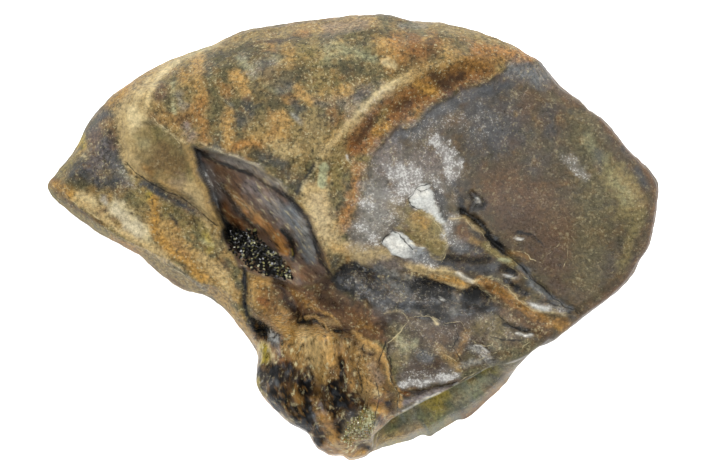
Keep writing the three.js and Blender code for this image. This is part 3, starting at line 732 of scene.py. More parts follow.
# The top edge of the crown.
RIM = [
    ("sand", 0.85, 0.35, 0.15, [(-6.7, 9.65), (-5.4, 10.05), (-3.8, 10.25), (-2.2, 10.5)]),
    ("tan", 0.7, 0.3, 0.2, [(-2.6, 10.4), (-1.2, 10.6), (0.2, 10.7), (1.0, 10.85)]),
    ("lilac", 0.4, 0.3, 0.2, [(-1.2, 10.5), (0.6, 10.6)]),
    ("rust", 0.6, 0.15, 0.15, [(-2.9, 10.15), (-2.2, 10.2)]),
    ("dark brown", 0.6, 0.07, 0.1, [(-5.3, 9.6), (-4.2, 9.7), (-2.9, 9.95)]),
    ("cream", 0.45, 0.2, 0.15, [(-9.9, 8.35), (-9.0, 8.8), (-7.9, 9.25), (-6.8, 9.75)]),
    ("pale green", 0.4, 0.15, 0.15, [(-8.4, 9.3), (-7.2, 9.7)]),
    ("tan", 0.7, 0.4, 0.25, [(-11.2, 7.4), (-10.6, 7.8), (-10.0, 8.2)]),
    ("gold", 0.8, 0.22, 0.2, [(-12.1, 6.7), (-11.6, 7.1), (-11.2, 7.6)]),
    ("umber", 0.7, 0.07, 0.08, [(-12.0, 6.6), (-11.9, 6.8)]),
    ("sand", 0.6, 0.2, 0.15, [(-11.0, 7.5), (-10.4, 7.9), (-9.9, 8.2)]),
    ("olive", 0.6, 0.15, 0.15, [(1.4, 10.9), (2.6, 10.7), (3.4, 10.6)]),
    ("sand", 0.85, 0.3, 0.15, [(3.6, 10.65), (5.0, 10.45), (6.6, 10.1), (8.0, 9.55), (8.8, 9.0)]),
    ("ash", 0.5, 0.1, 0.1, [(2.4, 10.6), (3.6, 10.55)]),
    ("orange", 0.9, 0.28, 0.2, [(6.2, 9.4), (7.2, 9.3), (8.3, 8.95), (8.9, 8.8)]),
]

# The pale saddle between the dome and the root wing.
SADDLE = [
    ("pale tan", 0.7, 0.6, 0.35, [(-10.4, 7.1), (-10.9, 6.6), (-11.2, 5.7)]),
    ("pale tan", 0.8, 0.25, 0.2, [(-9.2, 8.5), (-9.9, 8.0), (-10.2, 7.3), (-10.5, 6.5)]),
    ("cream", 0.7, 0.08, 0.1, [(-8.7, 8.8), (-9.6, 8.2), (-10.0, 7.5), (-10.4, 6.4)]),
    ("cream", 0.5, 0.06, 0.1, [(-10.2, 8.0), (-10.6, 7.2), (-10.9, 6.4)]),
    ("pale tan", 0.9, 0.3, 0.2, [(-11.3, 6.2), (-11.5, 5.2), (-11.4, 4.4), (-11.0, 3.7)]),
    ("mauve", 0.9, 0.3, 0.2, [(-9.5, 7.5), (-9.6, 7.0)]),
    ("tan", 0.6, 0.3, 0.3, [(-9.7, 6.4), (-9.4, 5.9)]),
    ("sand", 0.7, 0.35, 0.3, [(-8.9, 7.4), (-8.6, 6.5)]),
    ("ash", 0.6, 0.2, 0.2, [(-8.7, 7.1), (-8.4, 6.5)]),
    ("pale green", 0.7, 0.07, 0.08, [(-8.9, 7.8), (-9.0, 7.0), (-8.85, 6.2)]),
    ("brown", 0.5, 0.25, 0.2, [(-8.6, 5.9), (-8.1, 5.8)]),
]

# The thin wing of the root, and the bevel below it.
WING = [
    ("slate", 0.8, 0.5, 0.35, [(-12.5, 6.0), (-12.9, 5.2), (-12.3, 4.6), (-13.1, 3.8)]),
    ("slate", 0.75, 0.4, 0.35, [(-12.0, 5.0), (-12.0, 4.0), (-12.4, 3.3), (-13.8, 3.3)]),
    ("slate", 0.8, 0.3, 0.3, [(-11.7, 3.7), (-11.4, 2.7), (-12.6, 2.8)]),
    ("lilac", 0.35, 0.4, 0.35, [(-12.9, 5.0), (-12.2, 4.4), (-12.9, 3.6)]),
    ("pale green", 0.4, 0.12, 0.15, [(-11.5, 3.3), (-11.1, 3.0)]),
    ("brown", 0.5, 0.2, 0.2, [(-12.0, 5.4), (-11.9, 4.7)]),
    ("brown", 0.6, 0.25, 0.25, [(-12.3, 5.7), (-13.1, 4.9)]),
    ("tan", 0.5, 0.15, 0.2, [(-12.5, 5.6), (-11.9, 5.9)]),
    ("mustard", 0.8, 0.15, 0.15, [(-13.65, 5.2), (-13.5, 4.6)]),
    ("cream", 0.6, 0.08, 0.1, [(-13.5, 4.2), (-13.3, 4.0)]),
    ("khaki", 0.9, 0.22, 0.15, [(-13.9, 4.3), (-14.3, 3.6), (-15.0, 3.05)]),
    ("brown", 0.9, 0.12, 0.1, [(-15.15, 2.95), (-14.8, 2.85)]),
    ("gold", 0.85, 0.3, 0.2, [(-14.9, 2.55), (-14.0, 2.1), (-13.2, 1.9)]),
    ("pale tan", 0.8, 0.4, 0.25, [(-13.6, 1.9), (-12.9, 1.5), (-12.3, 1.1)]),
    ("cream", 0.6, 0.2, 0.2, [(-13.5, 2.2), (-12.9, 1.8)]),
    ("white", 0.5, 0.15, 0.15, [(-12.4, 2.0), (-12.3, 1.8)]),
    ("brown", 0.7, 0.1, 0.12, [(-12.7, 1.2), (-12.2, 1.5)]),
    ("tan", 0.9, 0.5, 0.25, [(-9.9, 0.9), (-9.0, -0.2), (-8.0, -1.0), (-6.6, -2.0), (-6.1, -2.8)]),
    ("pale tan", 0.8, 0.3, 0.2, [(-12.8, 0.9), (-11.6, 0.2), (-10.4, -0.3), (-9.4, -0.9)]),
    ("cream", 0.8, 0.36, 0.2, [(-11.8, 1.5), (-11.3, 1.2), (-10.9, 0.7), (-10.3, 0.2)]),
    ("silver", 0.25, 0.3, 0.25, [(-11.8, 1.4), (-11.3, 0.9), (-10.6, 0.2)]),
    ("umber", 0.8, 0.06, 0.07, [(-11.05, 1.25), (-10.95, 1.15)]),
    ("umber", 0.8, 0.06, 0.07, [(-10.7, 0.95), (-10.5, 0.8)]),
    ("brown", 0.8, 0.07, 0.07, [(-12.1, 0.98), (-11.9, 0.95)]),
    ("khaki", 0.8, 0.3, 0.25, [(-10.9, 2.6), (-10.4, 2.0)]),
    ("mustard", 0.8, 0.15, 0.15, [(-10.4, 2.6), (-10.0, 2.0)]),
    ("gold", 0.95, 0.2, 0.15, [(-9.9, 1.9), (-9.8, 1.2), (-9.9, 0.5), (-9.4, -0.2)]),
    ("gold", 0.9, 0.25, 0.15, [(-9.4, -0.2), (-8.9, -0.8), (-8.0, -1.4), (-7.5, -2.0)]),
    ("rust", 0.4, 0.15, 0.15, [(-8.9, -0.2), (-8.2, -0.9)]),
    ("slate", 0.95, 0.2, 0.15, [(-10.4, 2.65), (-9.5, 2.2), (-8.7, 1.85), (-8.1, 1.5),
                                (-7.5, 1.15)]),
    # A painted shade line at the foot of the lobe's raised edge.
    ("ink", 0.7, 0.1, 0.1, [(-10.1, 2.6), (-9.0, 2.1), (-8.2, 1.7)]),
    ("khaki", 0.9, 0.35, 0.25, [(-9.2, 1.3), (-8.2, 0.8), (-7.3, 0.5)]),
    ("dark olive", 0.6, 0.2, 0.2, [(-8.8, 1.1), (-7.8, 0.7)]),
    ("ink", 0.85, 0.1, 0.1, [(-9.0, 1.0), (-8.75, 0.65)]),
    ("pale green", 0.6, 0.12, 0.15, [(-7.4, -0.15), (-7.0, -0.4)]),
    ("mustard", 0.5, 0.2, 0.2, [(-7.3, 0.1), (-7.0, -0.6)]),
    ("umber", 0.8, 0.06, 0.08, [(-8.6, -1.35), (-8.4, -1.45)]),
    ("pale tan", 0.7, 0.25, 0.2, [(-7.4, -1.1), (-6.4, -1.9), (-6.2, -2.6)]),
    ("brown", 0.5, 0.1, 0.12, [(-6.6, -1.0), (-6.2, -1.6)]),
]
BEVEL = [
    ("khaki", 0.9, 0.25, 0.12, [(-15.1, 2.3), (-13.9, 1.35), (-12.6, 0.5), (-11.6, -0.1)]),
    ("brown", 0.7, 0.1, 0.1, [(-14.9, 2.35), (-13.7, 1.4), (-12.5, 0.65)]),
    ("orange", 0.6, 0.12, 0.12, [(-12.0, 0.05), (-10.8, -0.7)]),
    ("sand", 0.9, 0.3, 0.15, [(-10.4, -0.9), (-9.4, -1.7), (-8.5, -2.2), (-7.4, -2.7)]),
    ("brown", 0.7, 0.12, 0.12, [(-9.2, -2.0), (-8.6, -2.35)]),
    ("pale tan", 0.7, 0.1, 0.08, [(-11.8, 0.45), (-10.5, -0.25), (-9.5, -0.9), (-8.5, -1.65)]),
    ("ash", 0.6, 0.06, 0.07, [(-9.6, -0.85), (-8.5, -1.75), (-7.5, -2.5), (-6.9, -2.9)]),
    ("tan", 0.8, 0.15, 0.12, [(-7.0, -2.6), (-6.1, -3.5), (-5.4, -4.4), (-4.95, -5.2)]),
]

# The smooth lobe between the wing and the hollow.
LOBE_STROKES = [
    ("pale tan", 0.7, 0.6, 0.35, [(-10.9, 6.4), (-10.8, 5.4), (-10.6, 4.7)]),
    ("pale tan", 0.8, 0.45, 0.35, [(-7.9, 2.6), (-7.2, 1.8), (-6.9, 1.1)]),
    ("cream", 0.75, 0.35, 0.3, [(-10.9, 6.2), (-10.7, 5.4)]),
    ("khaki", 0.9, 0.75, 0.3, [(-10.0, 4.8), (-9.4, 4.2), (-8.6, 3.4), (-7.9, 2.6)]),
    ("brown", 0.6, 0.7, 0.4, [(-9.6, 4.2), (-8.8, 3.6)]),
    ("sand", 0.8, 0.45, 0.3, [(-10.4, 5.2), (-10.3, 4.4)]),
    ("pale green", 0.25, 0.3, 0.25, [(-10.5, 4.7), (-10.49, 4.7)]),
    ("tan", 0.5, 0.4, 0.35, [(-9.2, 2.9), (-8.2, 2.3)]),
    ("lilac", 0.3, 0.4, 0.35, [(-8.6, 2.8), (-7.9, 2.1)]),
    ("pale tan", 0.8, 0.4, 0.3, [(-8.0, 2.6), (-7.4, 2.0), (-7.0, 1.3)]),
    ("tan", 0.75, 0.2, 0.15, [(-8.0, 4.2), (-7.7, 3.2), (-7.2, 2.0), (-6.8, 1.1), (-6.6, 0.1)]),
    ("tan", 0.6, 0.3, 0.25, [(-8.9, 5.5), (-8.3, 4.9)]),
    ("pale tan", 0.85, 0.2, 0.15, [(-11.45, 5.2), (-11.3, 4.4), (-10.9, 3.7), (-10.3, 3.15)]),
    ("cream", 0.4, 0.05, 0.06, [(-9.9, 5.8), (-9.3, 5.3), (-8.7, 5.0), (-8.2, 4.75)]),
    ("lilac", 0.6, 0.22, 0.2, [(-8.2, 5.5), (-7.95, 5.0)]),
    ("umber", 1.0, 0.06, 0.05, [(-10.25, 3.45), (-10.1, 3.35)]),
    ("amber", 0.6, 0.15, 0.15, [(-10.3, 3.5), (-10.0, 3.2)]),
]

# The pulp hollow, with the dark line round it, a painted shadow under its rim wall and its
# overhanging left edge, and the pale lip, a painted highlight.
HOLLOW = [
    ("mauve", 0.95, 1.1, 0.4, [(-6.2, 3.0), (-4.6, 1.8), (-3.2, 0.4), (-2.4, -1.0)]),
    ("ash", 0.5, 0.2, 0.12, [(-6.9, 4.15), (-5.8, 3.85), (-4.7, 3.25), (-3.8, 2.7)]),
    ("brown", 0.8, 0.35, 0.25, [(-6.8, 3.5), (-6.0, 3.0), (-5.5, 2.3)]),
    ("lilac", 0.7, 0.4, 0.3, [(-4.9, 2.5), (-4.0, 1.8), (-3.4, 1.2)]),
    ("ash", 0.45, 0.3, 0.3, [(-3.9, 1.7), (-3.2, 1.0), (-2.6, 0.2)]),
    ("steel", 0.9, 0.38, 0.2, [(-3.1, 1.4), (-2.6, 0.6), (-2.3, -0.2), (-2.0, -1.0)]),
    ("ash", 0.6, 0.15, 0.12, [(-2.6, 0.9), (-2.3, 0.1), (-2.0, -0.8)]),
    ("mauve", 0.9, 0.35, 0.2, [(-7.2, 3.2), (-6.7, 2.1), (-6.2, 1.3)]),
    ("rust", 0.8, 0.25, 0.2, [(-6.4, 1.5), (-6.0, 0.9), (-5.5, 0.6)]),
    ("amber", 0.9, 0.22, 0.15, [(-6.3, 2.4), (-5.8, 1.95), (-5.2, 1.4), (-4.8, 1.0)]),
    ("orange", 0.95, 0.22, 0.15, [(-5.1, 1.3), (-4.6, 0.95), (-4.1, 0.5), (-3.7, 0.0),
                                 (-3.35, -0.6)]),
    ("honey", 0.6, 0.08, 0.1, [(-5.3, 1.6), (-4.9, 1.3), (-4.3, 0.9)]),
    ("umber", 1.0, 0.13, 0.1, [(-6.6, 2.6), (-6.2, 2.05), (-5.8, 1.55), (-5.4, 1.05),
                               (-4.9, 0.6)]),
    ("brown", 0.7, 0.15, 0.15, [(-4.9, 0.4), (-4.2, 0.2)]),
    # Painted shade under the overhanging edge of the lobe, on the hollow's left side.
    ("ink", 0.95, 0.16, 0.12, [(-7.7, 4.2), (-7.4, 3.3), (-7.15, 2.6), (-6.75, 1.8),
                               (-6.4, 0.9), (-6.2, 0.4)]),
    # Painted shadow under the rim wall, along the upper side of the hollow.
    ("soot", 0.95, 0.1, 0.1, [(-7.8, 4.4), (-6.6, 3.75), (-5.7, 3.45), (-4.8, 3.0), (-4.1, 2.65),
                              (-3.4, 2.2), (-2.9, 1.85)]),
    # The same painted shadow along the right-hand rim.
    ("black", 0.95, 0.1, 0.08, [(-2.8, 1.7), (-2.35, 1.05), (-2.0, 0.2), (-1.75, -0.6),
                                (-1.45, -1.25), (-1.1, -1.75)]),
    ("black", 0.95, 0.5, 0.2, [(-6.1, 0.2), (-5.3, -0.2), (-4.6, -0.7), (-3.8, -1.3)]),
    ("black", 1.0, 0.14, 0.1, [(-3.4, 0.4), (-3.1, -0.1), (-2.9, -0.7), (-2.95, -1.05)]),
    ("mustard", 0.6, 0.05, 0.06, [(-3.0, -0.55), (-3.0, -0.85)]),
    ("brown", 0.9, 0.35, 0.25, [(-3.1, -1.5), (-2.2, -1.9), (-1.4, -2.3)]),
    ("rust", 0.4, 0.2, 0.2, [(-2.9, -1.7), (-2.5, -1.8)]),
    ("mauve", 0.7, 0.25, 0.25, [(-1.85, -1.6), (-1.2, -2.4)]),
    ("black", 0.9, 0.25, 0.2, [(-3.9, -1.9), (-3.1, -2.2)]),
    # Painted highlight on the raised lip of the rim.
    ("cream", 0.5, 0.03, 0.07, [(-7.6, 4.75), (-6.4, 4.3), (-5.7, 4.0), (-4.9, 3.65), (-4.3, 3.25),
                               (-3.8, 2.85), (-3.3, 2.35)]),
]

# The pale carina, and the rust-coloured valley beside it.
CARINA_STROKES = [
    ("rust", 0.8, 0.7, 0.35, [(6.4, 8.5), (4.8, 7.9), (2.9, 6.9), (1.5, 5.9), (0.4, 4.6)]),
    ("amber", 0.7, 0.4, 0.3, [(7.5, 8.9), (6.2, 8.8), (5.0, 8.5), (3.6, 7.6)]),
    ("pale tan", 0.85, 0.22, 0.2, [(-1.5, 4.1), (-0.5, 5.2), (0.6, 6.4), (1.7, 7.4), (3.0, 8.1)]),
    ("tan", 0.8, 0.2, 0.2, [(3.0, 8.1), (4.0, 8.5), (5.2, 8.95)]),
    ("cream", 0.6, 0.1, 0.12, [(0.0, 5.9), (0.6, 6.45), (1.1, 6.95), (1.7, 7.4), (2.3, 7.8)]),
    ("dark brown", 0.9, 0.28, 0.2, [(5.3, 8.0), (4.5, 7.6), (4.1, 8.1)]),
    ("gold", 0.8, 0.22, 0.2, [(3.9, 7.3), (3.3, 7.6)]),
    ("umber", 0.65, 0.2, 0.2, [(2.7, 6.7), (2.1, 6.4)]),
    ("orange", 0.8, 0.2, 0.2, [(3.4, 6.4), (3.0, 5.9)]),
    ("khaki", 0.8, 0.2, 0.2, [(1.7, 6.3), (1.4, 5.8)]),
    ("gold", 0.8, 0.22, 0.2, [(1.8, 5.5), (1.2, 5.2)]),
    ("dark brown", 0.8, 0.2, 0.2, [(1.0, 5.8), (0.6, 5.2), (0.2, 4.8)]),
    ("orange", 0.8, 0.2, 0.2, [(1.0, 4.8), (0.7, 4.4)]),
    ("rust", 0.7, 0.25, 0.2, [(0.1, 4.5), (-0.1, 3.7)]),
    # A painted glint.
    ("silver", 0.8, 0.05, 0.06, [(-0.25, 4.15), (-0.2, 3.9)]),
    ("khaki", 0.8, 0.3, 0.25, [(0.6, 4.0), (-0.7, 3.4), (-0.8, 2.5)]),
    ("orange", 0.85, 0.26, 0.3, [(0.35, 3.5), (0.2, 2.6), (0.0, 1.8), (-0.35, 1.1), (-0.6, 0.6)]),
    ("pale tan", 1.0, 0.65, 0.3, [(-1.8, 2.1), (-1.6, 1.2), (-1.3, 0.2)]),
    ("cream", 0.35, 0.4, 0.4, [(-1.8, 1.6), (-1.6, 0.8), (-1.4, 0.1)]),
    ("lilac", 0.2, 0.5, 0.3, [(-1.7, 1.8), (-1.5, 0.9), (-1.2, 0.0)]),
    ("olive", 0.6, 0.2, 0.2, [(-0.8, 2.2), (-0.7, 1.5)]),
    ("pale tan", 0.8, 0.4, 0.25, [(-1.1, -0.4), (-0.4, -0.5), (0.6, -0.8), (1.6, -0.7)]),
    ("honey", 0.5, 0.2, 0.2, [(-0.9, -0.4), (-0.4, -0.6)]),
    ("pale green", 0.95, 0.2, 0.12, [(-1.4, 3.5), (-1.5, 2.7)]),
    ("ink", 0.9, 0.1, 0.08, [(-1.9, 3.6), (-2.3, 2.9), (-2.7, 2.2)]),
    ("cream", 0.6, 0.06, 0.07, [(-1.7, 3.75), (-2.05, 3.1), (-2.45, 2.4)]),
]

# The enamel: brown, with slate where it is thin and olive towards the right-hand edge. The slate
# and steel in its upper left are partly a painted grey-blue sheen.
ENAMEL_MOTTLES = [
    ("slate", 0.35, 1.3, 31, 0.1, 0.7), ("olive", 0.4, 1.0, 32, 0.1, 0.7),
    ("brown", 0.5, 0.8, 33, 0.1, 0.7), ("dark olive", 0.4, 0.4, 38, 0.1, 0.6),
    ("amber", 0.2, 0.3, 39, 0.2, 0.6),
]
ENAMEL_STROKES = [
    ("steel", 0.7, 0.45, 0.35, [(8.0, 8.3), (9.0, 8.2), (9.4, 7.8)]),
    ("slate", 0.85, 0.35, 0.3, [(7.4, 7.6), (5.9, 7.1), (4.6, 6.5), (3.7, 5.9), (3.2, 5.4),
                                (2.3, 5.1)]),
    ("slate", 0.6, 0.5, 0.4, [(6.0, 6.2), (6.9, 5.3), (7.2, 4.5)]),
    ("slate", 0.55, 0.3, 0.3, [(9.7, 6.4), (9.9, 5.3)]),
    ("slate", 0.4, 0.25, 0.25, [(8.6, 3.6), (8.9, 3.3)]),
    ("brown", 0.5, 0.3, 0.3, [(9.9, 7.6), (10.6, 7.1), (11.2, 6.7)]),
    ("brown", 0.4, 0.5, 0.4, [(8.7, 7.0), (8.4, 6.0)]),
    ("brown", 0.6, 1.2, 0.7, [(7.6, 2.4), (9.0, 1.2), (10.2, 0.2), (10.6, -1.4)]),
    ("dark brown", 0.6, 0.9, 0.6, [(8.0, 1.0), (8.8, 0.2), (9.8, -0.8), (10.6, -1.8)]),
    ("slate", 0.5, 0.9, 0.7, [(7.0, 6.9), (7.8, 5.6), (6.4, 4.6)]),
    ("dark brown", 0.4, 0.8, 0.6, [(11.8, -0.6), (12.2, -2.0)]),
    ("olive", 0.6, 0.9, 0.7, [(11.4, 5.0), (12.2, 2.8), (12.0, 0.8), (11.6, -1.6)]),
    ("pale green", 0.3, 0.25, 0.3, [(11.6, 4.9), (12.6, 3.8), (13.2, 2.6)]),
    ("sand", 0.5, 0.2, 0.25, [(12.3, 3.7), (12.9, 2.6), (13.3, 2.2)]),
    ("khaki", 0.8, 0.6, 0.4, [(13.0, 3.3), (13.6, 2.4), (13.6, 1.4)]),
    ("pale green", 0.3, 0.5, 0.4, [(13.2, 3.2), (13.8, 2.3)]),
    ("sand", 0.8, 0.25, 0.2, [(13.3, 3.3), (14.0, 2.6), (14.4, 1.8)]),
    ("slate", 0.7, 0.2, 0.2, [(12.2, 4.3), (12.4, 3.4)]),
    ("slate", 0.7, 0.2, 0.2, [(13.5, 4.5), (13.9, 4.2)]),
    ("slate", 0.7, 0.2, 0.2, [(14.2, 3.4), (14.6, 2.6)]),
    ("dark olive", 0.5, 0.3, 0.25, [(13.6, 0.8), (14.0, 0.4), (13.2, -0.2)]),
    ("khaki", 0.6, 0.25, 0.2, [(14.4, 1.2), (14.0, 0.2), (13.4, -1.4)]),
    ("brown", 0.8, 0.14, 0.12, [(12.4, 5.95), (13.6, 4.55), (14.9, 3.1), (15.2, 2.0),
                                (14.8, -0.1), (13.8, -2.0), (12.0, -3.5)]),
    ("tan", 0.7, 0.1, 0.1, [(8.15, 6.2), (8.16, 6.2)]),
    # A painted sheen in the upper left of the enamel.
    ("ash", 0.6, 0.6, 0.4, [(0.9, 2.4), (1.4, 1.2), (0.8, 0.4)]),
    ("lilac", 0.4, 0.7, 0.5, [(1.7, 4.2), (2.4, 2.8), (4.2, 4.0)]),
    ("sand", 0.7, 0.35, 0.25, [(2.1, 1.6), (2.5, 1.2)]),
    ("ink", 0.75, 0.25, 0.2, [(4.1, 2.6), (4.4, 1.6), (4.7, 0.8)]),
    ("ink", 0.9, 0.1, 0.1, [(5.05, 2.7), (5.3, 1.9), (5.6, 1.2)]),
]

# The broken face below the enamel, its crack and its pale veins.
LOWER_FACE = [
    ("dark brown", 0.9, 0.9, 0.4, [(3.0, -4.3), (4.2, -4.6), (5.6, -4.4), (6.6, -4.4)]),
    ("umber", 0.8, 0.6, 0.35, [(-1.2, -2.5), (-0.4, -3.1), (0.7, -3.8), (1.5, -4.2)]),
    ("mauve", 0.6, 0.3, 0.3, [(-0.8, -3.0), (0.2, -3.6), (1.0, -4.0)]),
    ("lilac", 0.4, 0.3, 0.3, [(1.2, -1.25), (2.2, -1.3), (3.0, -1.5)]),
    ("soot", 1.0, 0.85, 0.14, [(-0.1, -2.0), (1.2, -2.5), (2.4, -2.9), (3.6, -2.8), (4.4, -3.0)]),
    ("black", 0.9, 0.35, 0.2, [(-0.5, -1.7), (0.3, -1.95), (0.8, -2.5), (1.6, -3.2), (2.2, -3.4)]),
    ("slate", 0.75, 0.3, 0.3, [(1.5, -1.95), (2.4, -2.35), (2.9, -2.8)]),
    ("ash", 0.6, 0.16, 0.2, [(1.2, -1.5), (2.0, -1.75), (2.9, -2.0)]),
    ("black", 1.0, 0.35, 0.2, [(3.2, -2.35), (3.9, -2.2), (4.6, -2.5), (4.9, -3.0)]),
    ("black", 1.0, 0.35, 0.2, [(3.0, -3.0), (3.8, -3.2), (4.4, -3.6), (4.6, -4.0)]),
    ("ash", 0.6, 0.2, 0.2, [(3.3, -3.65), (4.0, -3.7)]),
    ("enamel brown", 0.85, 0.7, 0.35, [(3.3, -4.4), (3.9, -5.2), (4.9, -5.4), (4.4, -6.3)]),
    ("brown", 0.5, 0.3, 0.3, [(3.8, -4.7), (4.5, -5.0)]),
    ("dark brown", 0.8, 0.6, 0.3, [(2.9, -6.6), (4.0, -6.4)]),
    ("olive", 0.8, 0.4, 0.3, [(2.3, -4.7), (2.8, -5.3), (2.2, -6.2)]),
    ("sand", 0.7, 0.25, 0.25, [(2.2, -5.0), (2.6, -5.5), (2.2, -6.0)]),
    ("pale green", 0.5, 0.15, 0.15, [(2.3, -4.9), (2.5, -5.6), (3.1, -5.2)]),
    ("steel", 0.7, 0.25, 0.2, [(3.3, -5.7), (3.8, -6.0)]),
    ("dark brown", 0.6, 0.3, 0.25, [(5.3, -3.9), (6.2, -4.2), (5.0, -4.8)]),
    ("khaki", 0.6, 0.5, 0.4, [(6.4, -4.3), (7.6, -3.9), (7.2, -4.9)]),
    ("gold", 0.7, 0.14, 0.14, [(5.65, -4.7), (5.55, -5.2)]),
    ("amber", 0.7, 0.12, 0.12, [(5.5, -5.2), (5.2, -5.8)]),
    ("tan", 0.8, 0.2, 0.2, [(4.4, -5.5), (5.0, -6.2), (5.3, -6.6)]),
    ("olive", 0.8, 0.3, 0.2, [(7.0, -5.3), (8.0, -5.5), (8.7, -5.3)]),
    ("brown", 0.5, 0.15, 0.15, [(7.6, -5.2), (8.4, -5.3)]),
    ("soot", 0.7, 0.3, 0.2, [(5.8, -5.4), (6.5, -5.6), (6.9, -6.0)]),
    ("ash", 0.8, 0.14, 0.12, [(5.9, -5.5), (6.5, -5.7), (6.8, -6.0)]),
    # A painted highlight on the grey ribs.
    ("white", 0.7, 0.04, 0.05, [(6.1, -5.35), (6.4, -5.4), (6.75, -5.8)]),
    ("ash", 0.7, 0.15, 0.12, [(5.4, -6.35), (6.3, -6.15)]),
    ("black", 1.0, 0.4, 0.12, [(5.9, -2.75), (6.5, -2.95), (6.6, -3.15)]),
    ("soot", 0.7, 0.4, 0.3, [(5.1, -3.3), (6.0, -3.7), (7.2, -3.5)]),
    ("slate", 0.7, 0.35, 0.2, [(5.0, -0.4), (5.8, -0.5), (6.5, -0.8)]),
    ("steel", 0.6, 0.12, 0.14, [(5.2, -0.6), (6.2, -0.7)]),
    ("tan", 0.6, 0.2, 0.2, [(6.0, -0.1), (6.4, -0.2)]),
    ("slate", 0.8, 0.25, 0.2, [(3.3, -0.8), (4.0, -1.2), (5.0, -1.45), (6.5, -1.55), (7.1, -1.5)]),
    ("black", 0.9, 0.18, 0.14, [(4.7, -0.95), (5.5, -1.1), (6.2, -1.15), (6.8, -1.05)]),
    ("pale tan", 0.75, 0.16, 0.16, [(2.8, -1.4), (3.6, -1.6), (4.6, -1.65)]),
    ("pale tan", 0.8, 0.22, 0.14, [(3.2, -1.55), (4.2, -1.8), (5.2, -1.9)]),
    ("honey", 0.9, 0.2, 0.1, [(4.1, -1.95), (4.9, -2.1), (5.6, -2.3)]),
    ("gold", 0.8, 0.12, 0.1, [(4.7, -2.05), (5.5, -2.2)]),
    ("white", 0.8, 0.08, 0.08, [(5.2, -1.75), (5.6, -1.95), (5.95, -2.15)]),
    ("amber", 1.0, 0.26, 0.1, [(6.3, -2.15), (7.0, -2.45), (7.7, -2.95), (8.4, -3.4), (8.9, -3.7)]),
    ("rust", 0.5, 0.1, 0.1, [(6.6, -2.4), (7.4, -2.9), (8.2, -3.5)]),
    ("amber", 0.95, 0.25, 0.15, [(9.1, -3.95), (9.9, -4.15), (10.6, -4.3)]),
    ("gold", 0.7, 0.1, 0.1, [(10.1, -4.3), (10.4, -4.6)]),
    ("brown", 0.7, 0.3, 0.25, [(7.6, -3.7), (8.6, -4.1), (9.6, -4.6)]),
    # Painted shade in the corner fold, with a painted highlight below it.
    ("black", 0.95, 0.09, 0.08, [(7.6, -4.3), (8.1, -4.5), (8.8, -4.6)]),
    ("white", 0.95, 0.06, 0.05, [(8.2, -4.75), (8.6, -4.85), (8.85, -4.85)]),
    ("olive", 0.9, 0.12, 0.08, [(5.5, -6.9), (6.8, -6.4), (8.5, -5.8), (9.2, -5.4)]),
    # Painted shade in the slot above the lip, and the slot's red-brown end.
    ("umber", 1.0, 0.11, 0.08, [(2.5, -7.75), (3.2, -7.75), (3.8, -7.6), (4.5, -7.4), (5.2, -7.2)]),
    ("rust", 0.9, 0.14, 0.1, [(2.35, -7.65), (2.75, -7.75)]),
    ("lilac", 0.95, 0.12, 0.07, [(2.5, -8.25), (3.3, -8.0), (4.2, -7.7), (4.8, -7.5)]),
    # Painted highlight along the lip's edge.
    ("white", 0.7, 0.04, 0.04, [(2.0, -8.95), (2.7, -8.55), (3.55, -8.05), (4.4, -7.72),
                                (5.2, -7.27)]),
]
